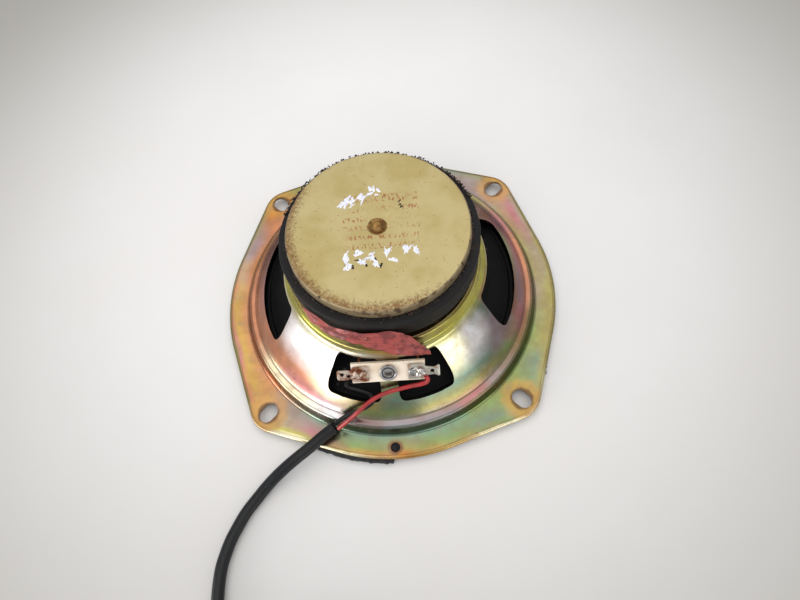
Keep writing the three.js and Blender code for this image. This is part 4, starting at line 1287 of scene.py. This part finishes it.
# ---------------------------------------------------------------- terminals
@dataclass
class Terminals:
    """The fibre board on the strut, with its rivet, two lugs, their rivets and the solder."""

    slope: float = 50.93
    board_length: float = 25.6
    board_width: float = 7.8
    board_bottom: float = 0.3
    board_top: float = 1.6
    lug_bottom: float = 1.9
    lug_top: float = 2.4
    lug_rivet: float = 8.4
    lug_hole: float = 15.2
    # place along and across the lug, radius and flatness
    beads: tuple = (
        (11.2, 0.6, 1.35, 1.0), (10.4, -0.9, 1.0, 0.8), (12.2, -0.5, 0.95, 0.7), (9.6, 1.2, 0.8, 0.6),
    )

    def place(self) -> Matrix:
        """The board's own frame: X along it, Y up the slope, Z out of the slope."""
        low, high = (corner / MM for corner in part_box("terminal_board"))
        turn = Matrix.Rotation(math.radians(self.slope), 4, "X")
        middle = Vector((0, 0, (self.board_bottom + self.board_top) / 2))
        centre = (low + high) / 2 - turn.to_3x3() @ middle
        return Matrix.Translation(centre) @ turn

    def board(self, place: Matrix) -> None:
        """Makes the board, with its sawn edges and the hole for the rivet."""
        x, y = self.board_length / 2, self.board_width / 2
        shape = prism([(-x, -y), (x, -y), (x, y), (-x, y)], self.board_bottom, self.board_top, bevel=0.16)
        piece = to_object("terminal_board_sawn", shape, place)
        cut(piece, [rod(1.75, -1, 3)], place)
        finish_piece(piece, FIBRE, ["terminal_board"])

    def rivet(self, place: Matrix) -> None:
        """Makes the board's rivet, a rolled ring round a square hole."""
        top = self.board_top + 0.3
        line = rounded([(0, -2.0), (2.1, -2.0, 0.3), (2.6, -1.6, 0.3), (2.6, -1.2), (1.45, -1.2), (1.45, top),
                        (3.1, top, 0.3), (3.1, top + 0.8, 0.5), (2.4, top + 0.8, 0.4), (2.2, top + 0.5),
                        (0, top + 0.5)])
        piece = to_object("terminal_rivet_rolled", spun(line, 64), place)
        cut(piece, [block((2.5, 2.5, 4), (0, 0, top + 0.9), 0.1)], place)
        finish_piece(piece, STEEL, ["terminal_rivet"])
        tube = spun(rounded([(1.9, top + 0.55, 0.15), (2.15, top + 0.55, 0.1), (2.15, top + 0.7, 0.1),
                             (1.9, top + 0.7, 0.1)], closed=True), 48)
        finish_piece(to_object("rivet_ring_mark", tube, place), CRUMBS)

    def lug_outline(self, forked: bool) -> list[Point2]:
        """A lug's outline: a wide base, a shoulder and a tail that flares if it is forked."""
        if forked:
            edge = [(6.8, 3.0, 0.4), (12.2, 3.0, 0.6), (12.9, 1.9, 0.5), (15.9, 1.35, 0.8), (17.4, 2.35, 0.4),
                    (17.8, 1.9, 0.3)]
        else:
            edge = [(6.8, 3.0, 0.4), (12.2, 3.0, 0.6), (12.9, 1.6, 0.5), (13.9, 1.95, 0.5), (17.3, 1.95, 0.6),
                    (17.8, 1.4, 0.3)]
        lower = [(x, -y, r) for x, y, r in edge]
        return rounded(lower + edge[::-1], closed=True, steps=4)

    def lugs(self, place: Matrix) -> None:
        """Makes both lugs, their rivets and their solder."""
        for side, sign, finish in (("left", -1, RUSTY_TIN), ("right", 1, TIN)):
            outline = [(sign * x, y) for x, y in self.lug_outline(side == "right")]
            shape = prism(outline, self.lug_bottom, self.lug_top, bevel=0.1)
            piece = to_object(f"lug_{side}_stamped", shape, place)
            holes = [(sign * self.lug_hole, 0)]
            if side == "left":
                holes = [(sign * 16.0, 0.3), (sign * 13.7, -0.5)]
            cut(piece, [rod(0.75, 0, 4, spot, 24) for spot in holes], place)
            finish_piece(piece, finish, [f"lug_{side}"])
            head = self.lug_top + 0.3
            line = rounded([(0, -0.7), (1.5, -0.7), (1.5, 0), (0.8, 0), (0.8, head), (1.5, head, 0.2),
                            (1.3, head + 0.5, 0.4), (0, head + 0.55)])
            spot = place @ Matrix.Translation((sign * self.lug_rivet, 0, 0))
            rivet = to_object(f"lug_rivet_{side}_head", spun(line, 32), spot)
            finish_piece(rivet, STEEL if sign > 0 else RUSTY_TIN, [f"lug_rivet_{side}"])
            self.solder(side, sign, place)

    def solder(self, side: str, sign: int, place: Matrix) -> None:
        """Makes one lug's solder: a few beads run together."""
        joined = bmesh.new()
        for x, y, radius, flat in self.beads:
            bead = bmesh.ops.create_icosphere(joined, subdivisions=3, radius=radius)["verts"]
            spot = Matrix.Translation((sign * x, y, self.lug_top + 0.42))
            bmesh.ops.transform(joined, matrix=spot @ Matrix.Diagonal((1, 1, 0.75 * flat, 1)), verts=bead)
        piece = to_object(f"solder_{side}_beads", joined, place)
        melt = piece.modifiers.new("melt", "REMESH")
        melt.mode = "VOXEL"
        melt.voxel_size = 0.12 * MM
        settle(piece)
        roughen(piece, 0.9, 0.25, seed=3.0 + sign)
        smooth(piece, 80)
        finish_piece(piece, SOLDER if sign > 0 else RUSTY_TIN, [f"solder_{side}"])

    def build(self) -> None:
        """Makes the terminal board and all that is on it."""
        place = self.place()
        self.board(place)
        self.rivet(place)
        self.lugs(place)


# ---------------------------------------------------------------- wires and lead
def wire(name: str, route: Sequence[Point3], radius: float, bevel: int = 5) -> bpy.types.Object:
    """Makes a round wire along a route.

    Args:
        name: the piece's name.
        route: its points, in millimetres.
        radius: its radius, in millimetres.
        bevel: fineness of its section.

    Returns:
        A curve of one open spline.
    """
    data = bpy.data.curves.new(name, "CURVE")
    data.dimensions = "3D"
    data.bevel_depth = radius * MM
    data.bevel_resolution = bevel
    data.resolution_u = 6
    data.use_fill_caps = True
    spline = data.splines.new("BEZIER")
    spline.bezier_points.add(len(route) - 1)
    for point, spot in zip(spline.bezier_points, route):
        point.co = Vector(spot) * MM
        point.handle_left_type = "AUTO"
        point.handle_right_type = "AUTO"
    piece = bpy.data.objects.new(name, data)
    bpy.context.scene.collection.objects.link(piece)
    return piece


def route_length(piece: bpy.types.Object) -> float:
    """Length of a wire's curve, in metres, to the nearest millimetre."""
    return round(piece.data.splines[0].calc_length(), 3)


@dataclass
class Lead:
    """Two cores from the lugs, the black sheath, its stored coil and the two-way connector."""

    core: float = 0.8
    sheath: float = 2.15
    coil_centre: Point2 = (-30.0, -150.0)
    outer_turn: float = 28.5
    inner_turn: float = 24.2
    top_turn: float = 26.35
    low_height: float = 2.3
    top_height: float = 6.0
    points_per_turn: int = 16
    plug_back: float = 10.0
    latch_rise: float = 0.8
    latch_size: Point3 = (11, 3.2, 0.9)
    mouth_size: Point3 = (24, 4.2, 4.4)
    groove_size: Point3 = (1.2, 20, 1.0)
    red_route: tuple = (
        (12.9, -43.9, 26.0), (13.4, -45.0, 24.4), (11.4, -45.7, 23.2), (7.8, -46.0, 22.4), (3.5, -46.6, 21.6),
        (-0.8, -47.4, 21.0), (-4.6, -48.6, 20.2), (-8.0, -50.2, 19.0), (-11.2, -52.2, 17.0),
        (-14.4, -53.9, 14.5), (-17.6, -55.5, 11.9), (-20.1, -56.7, 9.9),
    )
    black_route: tuple = (
        (-15.0, -44.4, 24.6), (-14.6, -44.9, 22.6), (-12.6, -45.2, 20.6), (-10.0, -45.7, 18.8),
        (-7.4, -46.8, 17.3), (-6.6, -48.8, 16.4), (-8.4, -50.4, 15.5), (-11.6, -51.4, 14.5),
        (-15.2, -52.2, 12.9), (-18.6, -53.4, 11.0), (-21.2, -54.6, 9.7),
    )
    sheath_route: tuple = (
        (-22.1, -56.2, 9.0), (-26.3, -58.8, 7.6), (-30.9, -62.2, 6.8), (-35.9, -65.9, 6.7),
        (-41.4, -69.9, 5.4), (-46.7, -74.2, 3.2), (-51.0, -78.9, 2.3), (-54.3, -83.1, 2.3),
        (-57.1, -88.0, 2.3), (-59.1, -92.0, 2.3),
        (-60.5, -96.1, 2.3), (-61.6, -100.4, 2.3), (-62.0, -104.9, 2.3), (-62.0, -110.4, 2.3),
        (-61.4, -116.6, 2.3), (-60.2, -123.6, 2.3), (-59.0, -132.4, 2.3),
    )

    def coil(self) -> list[Point3]:
        """The coil's route: the outer turn, the inner turn beside it, then one turn on top of both."""
        turns = ((self.outer_turn, self.low_height), (self.inner_turn, self.low_height),
                 (self.top_turn, self.top_height))
        blend = 4  # points over which one turn passes into the next
        x, y = self.coil_centre
        route = []
        last = int(self.points_per_turn * (len(turns) - 0.75))
        for k in range(last + 1):
            turn, step = divmod(k, self.points_per_turn)
            radius, height = turns[turn]
            if step > self.points_per_turn - blend and turn + 1 < len(turns):
                share = (step - self.points_per_turn + blend) / blend
                share = share * share * (3 - 2 * share)
                radius += (turns[turn + 1][0] - radius) * share
                height += (turns[turn + 1][1] - height) * share
            angle = math.pi + math.tau * k / self.points_per_turn
            route.append((x + radius * math.cos(angle), y + radius * math.sin(angle), height))
        return route

    def cores(self) -> None:
        """Makes the red and the black core."""
        for colour, route, finish, slot in (("red", self.red_route, RED_PVC, "red_pvc"),
                                            ("black", self.black_route, BLACK_PVC, "black_pvc")):
            piece = wire(f"{colour}_core", route, self.core)
            finish_piece(piece, finish, [f"{colour}_wire"])

    def connector(self) -> list[bpy.types.Object]:
        """Makes the connector's housing, with its cavities and latch, and its two contacts."""
        low, high = (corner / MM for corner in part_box("connector_housing"))
        centre = (low + high) / 2
        size = high - low
        rise = self.latch_rise
        body = block((size.x, size.y, size.z - rise), (centre.x, centre.y, centre.z - rise / 2), 0.5)
        piece = to_object("connector_shell", body)
        contacts = [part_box(f"connector_contact_{i}") for i in (1, 2)]
        middles = [(box[0].y + box[1].y) / 2 / MM for box in contacts]
        mouths = [block(self.mouth_size, (high.x, y, centre.z), 0.2) for y in middles]
        places = [(low.x + 3 + 2.2 * k, centre.y, high.z - rise) for k in range(3)]
        grooves = [block(self.groove_size, place, 0.1) for place in places]
        cut(piece, mouths)
        cut(piece, grooves)
        finish_piece(piece, NYLON, ["connector_housing"])
        bar = block(self.latch_size, (high.x - 6.2, centre.y, high.z - self.latch_size[2] / 2), 0.3)
        latch = to_object("connector_latch", bar)
        finish_piece(latch, NYLON)
        pieces = [piece, latch]
        for i, (start, end) in enumerate(contacts, 1):
            middle = (start + end) / 2 / MM
            extent = (end - start) / MM
            blade = to_object(f"contact_blade_{i}", block(tuple(extent), tuple(middle), 0.18))
            pieces.append(finish_piece(blade, TIN, [f"connector_contact_{i}"]))
        return pieces

    def mouth(self) -> None:
        """Makes the cut end of the sheath, a torn collar round the two cores."""
        start, ahead = Vector(self.sheath_route[0]), Vector(self.sheath_route[1])
        along = (start - ahead).normalized()
        line = [(self.sheath - 0.55, -0.6), (self.sheath + 0.02, -1.0), (self.sheath + 0.05, 0.4),
                (self.sheath - 0.05, 0.75), (self.sheath - 0.5, 0.6)]
        shape = spun(rounded([(r, z, 0.1) for r, z in line], closed=True, steps=2), 40)
        for vertex in shape.verts:
            if vertex.co.z > 0:
                ragged = noise.noise(Vector((vertex.co.x * 0.5, vertex.co.y * 0.5, 7)))
                vertex.co.z += 0.9 * ragged + 0.25 * vertex.co.x
        place = Matrix.Translation(start) @ along.to_track_quat("Z", "Y").to_matrix().to_4x4()
        finish_piece(to_object("sheath_mouth", shape, place), BLACK_PVC)

    def build(self) -> None:
        """Makes the cores, the cable from the sheath's mouth to the connector, and the connector."""
        self.cores()
        tail_y = self.coil_centre[1] - self.top_turn
        x = self.coil_centre[0]
        tail = [(x + 10, tail_y, 5.9), (x + 20.8, tail_y, 5.2), (x + 28, tail_y, 4.5), (x + 34, tail_y, 4.25),
                (self.plug_back + 0.4, tail_y, 4.2)]
        route = list(self.sheath_route[:-1]) + self.coil() + tail
        cable = wire("cable", route, self.sheath, bevel=6)
        finish_piece(cable, BLACK_PVC, ["cable_sheath", "cable_coil", "cable_tail"])
        self.mouth()
        self.connector()
        log.info("cable length %.3f m", route_length(cable))


@dataclass
class InnerLeads:
    """The tinsel leads from the lugs to the cone, and the thin leads on to the voice coil."""

    tinsel: float = 0.5
    thin: float = 0.25

    def build(self) -> None:
        """Makes the four leads in their CAD nodes' places."""
        for side, sign in (("left", -1), ("right", 1)):
            node = f"tinsel_lead_{side}"
            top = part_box(f"cone_eyelet_{side}")[1].z / MM
            route = [(sign * 9.9, -40.1, 25.2), (sign * 10.2, -37.4, 24.3), (sign * 10.5, -33.8, 24.4),
                     (sign * 10.6, -29.6, 24.6), (sign * 10.5, -26.8, 23.9), (sign * 10.5, -26, top + 0.3)]
            piece = wire(f"{node}_braid", route, self.tinsel, 3)
            piece = to_mesh(piece)
            finish_piece(piece, COPPER, [node], None)
            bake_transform(piece)
            low, high = (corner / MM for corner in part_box(f"coil_lead_{side}"))
            near, far = (low.x, high.x) if sign > 0 else (high.x, low.x)
            middle = ((near + far) / 2, (low.y + high.y) / 2, (low.z + high.z) / 2)
            route = [(far, low.y, low.z + 0.3), middle, (near, high.y, high.z - 0.3)]
            lead = wire(f"coil_lead_{side}_wire", route, self.thin, 2)
            finish_piece(to_mesh(lead), COPPER, [f"coil_lead_{side}"], MOVING)


def to_mesh(piece: bpy.types.Object) -> bpy.types.Object:
    """Turns a wire into a mesh piece of the same name."""
    graph = bpy.context.evaluated_depsgraph_get()
    mesh = bpy.data.meshes.new_from_object(piece.evaluated_get(graph))
    name = piece.name
    bpy.data.objects.remove(piece)
    result = bpy.data.objects.new(name, mesh)
    bpy.context.scene.collection.objects.link(result)
    mesh.shade_smooth()
    return result


# ---------------------------------------------------------------- stage
@dataclass
class Stage:
    """The table, the light and the camera."""

    eye: Point3 = (13.95, -101.03, 208.66)
    aim: Point3 = (4.05, -4.02, 4.1)
    roll: float = -9.0
    lens: float = 24.78
    half_table: float = 2500.0

    def camera(self) -> None:
        """Places the camera."""
        data = bpy.data.cameras.new("camera")
        data.lens = self.lens
        data.sensor_width = 36
        data.clip_start = 0.01
        camera = bpy.data.objects.new("camera", data)
        eye, aim = Vector(self.eye) * MM, Vector(self.aim) * MM
        look = (aim - eye).to_track_quat("-Z", "Y").to_matrix().to_4x4()
        roll = Matrix.Rotation(math.radians(self.roll), 4, "Z")
        camera.matrix_world = Matrix.Translation(eye) @ look @ roll
        bpy.context.scene.collection.objects.link(camera)
        bpy.context.scene.camera = camera

    def table(self) -> None:
        """Makes the table's top."""
        shape = bmesh.new()
        bmesh.ops.create_grid(shape, x_segments=1, y_segments=1, size=self.half_table)
        top = to_object("table_top", shape)
        top.data.materials.append(MATERIALS[TABLE.name])

    def lamp(self, name: str, spot: Point3, target: Point3, size: Point2, power: float,
             colour: Point3) -> None:
        """Adds one soft rectangular lamp.

        Args:
            name: its name.
            spot: its centre, in metres.
            target: the point that it faces.
            size: its width and height, in metres.
            power: its power, in watts.
            colour: its colour.
        """
        data = bpy.data.lights.new(name, "AREA")
        data.shape = "RECTANGLE"
        data.size, data.size_y = size
        data.energy = power
        data.color = colour
        lamp = bpy.data.objects.new(name, data)
        lamp.location = spot
        lamp.rotation_euler = (Vector(target) - Vector(spot)).to_track_quat("-Z", "Y").to_euler()
        bpy.context.scene.collection.objects.link(lamp)

    def light(self) -> None:
        """Sets the room's light: a pale surround, a ceiling lamp and a low window in front."""
        world = bpy.data.worlds.new("room")
        world.use_nodes = True
        back = world.node_tree.nodes["Background"]
        back.inputs["Color"].default_value = tint(236, 240, 246)
        back.inputs["Strength"].default_value = 0.8
        bpy.context.scene.world = world
        self.lamp("ceiling", (0.0, 0.2, 1.6), (0, 0, 0), (2.4, 2.4), 17, (1.0, 0.98, 0.95))
        self.lamp("window", (-0.9, -0.62, 0.19), (0, 0, 0.06), (1.0, 0.34), 7.0, (1.0, 0.99, 0.99))
        self.lamp("front", (0.55, -0.85, 0.16), (0, 0, 0.04), (0.75, 0.26), 1.5, (0.97, 1.0, 0.98))

    def build(self) -> None:
        """Makes the camera, the table and the light."""
        self.camera()
        self.table()
        self.light()
        bpy.context.scene.view_settings.view_transform = "Standard"


def main() -> None:
    """Builds the loudspeaker around its frame."""
    logging.basicConfig(level=logging.INFO, format="%(name)s %(message)s")
    parts = (Stage(), Lead(), Basket(), MagnetSystem(), MarkerFlecks(), MovingSystem(), Gasket(),
             SealingTape(), Terminals(), InnerLeads())
    for part in parts:
        log.info("-- %s", type(part).__name__)
        part.build()


if __name__ == "__main__":
    main()
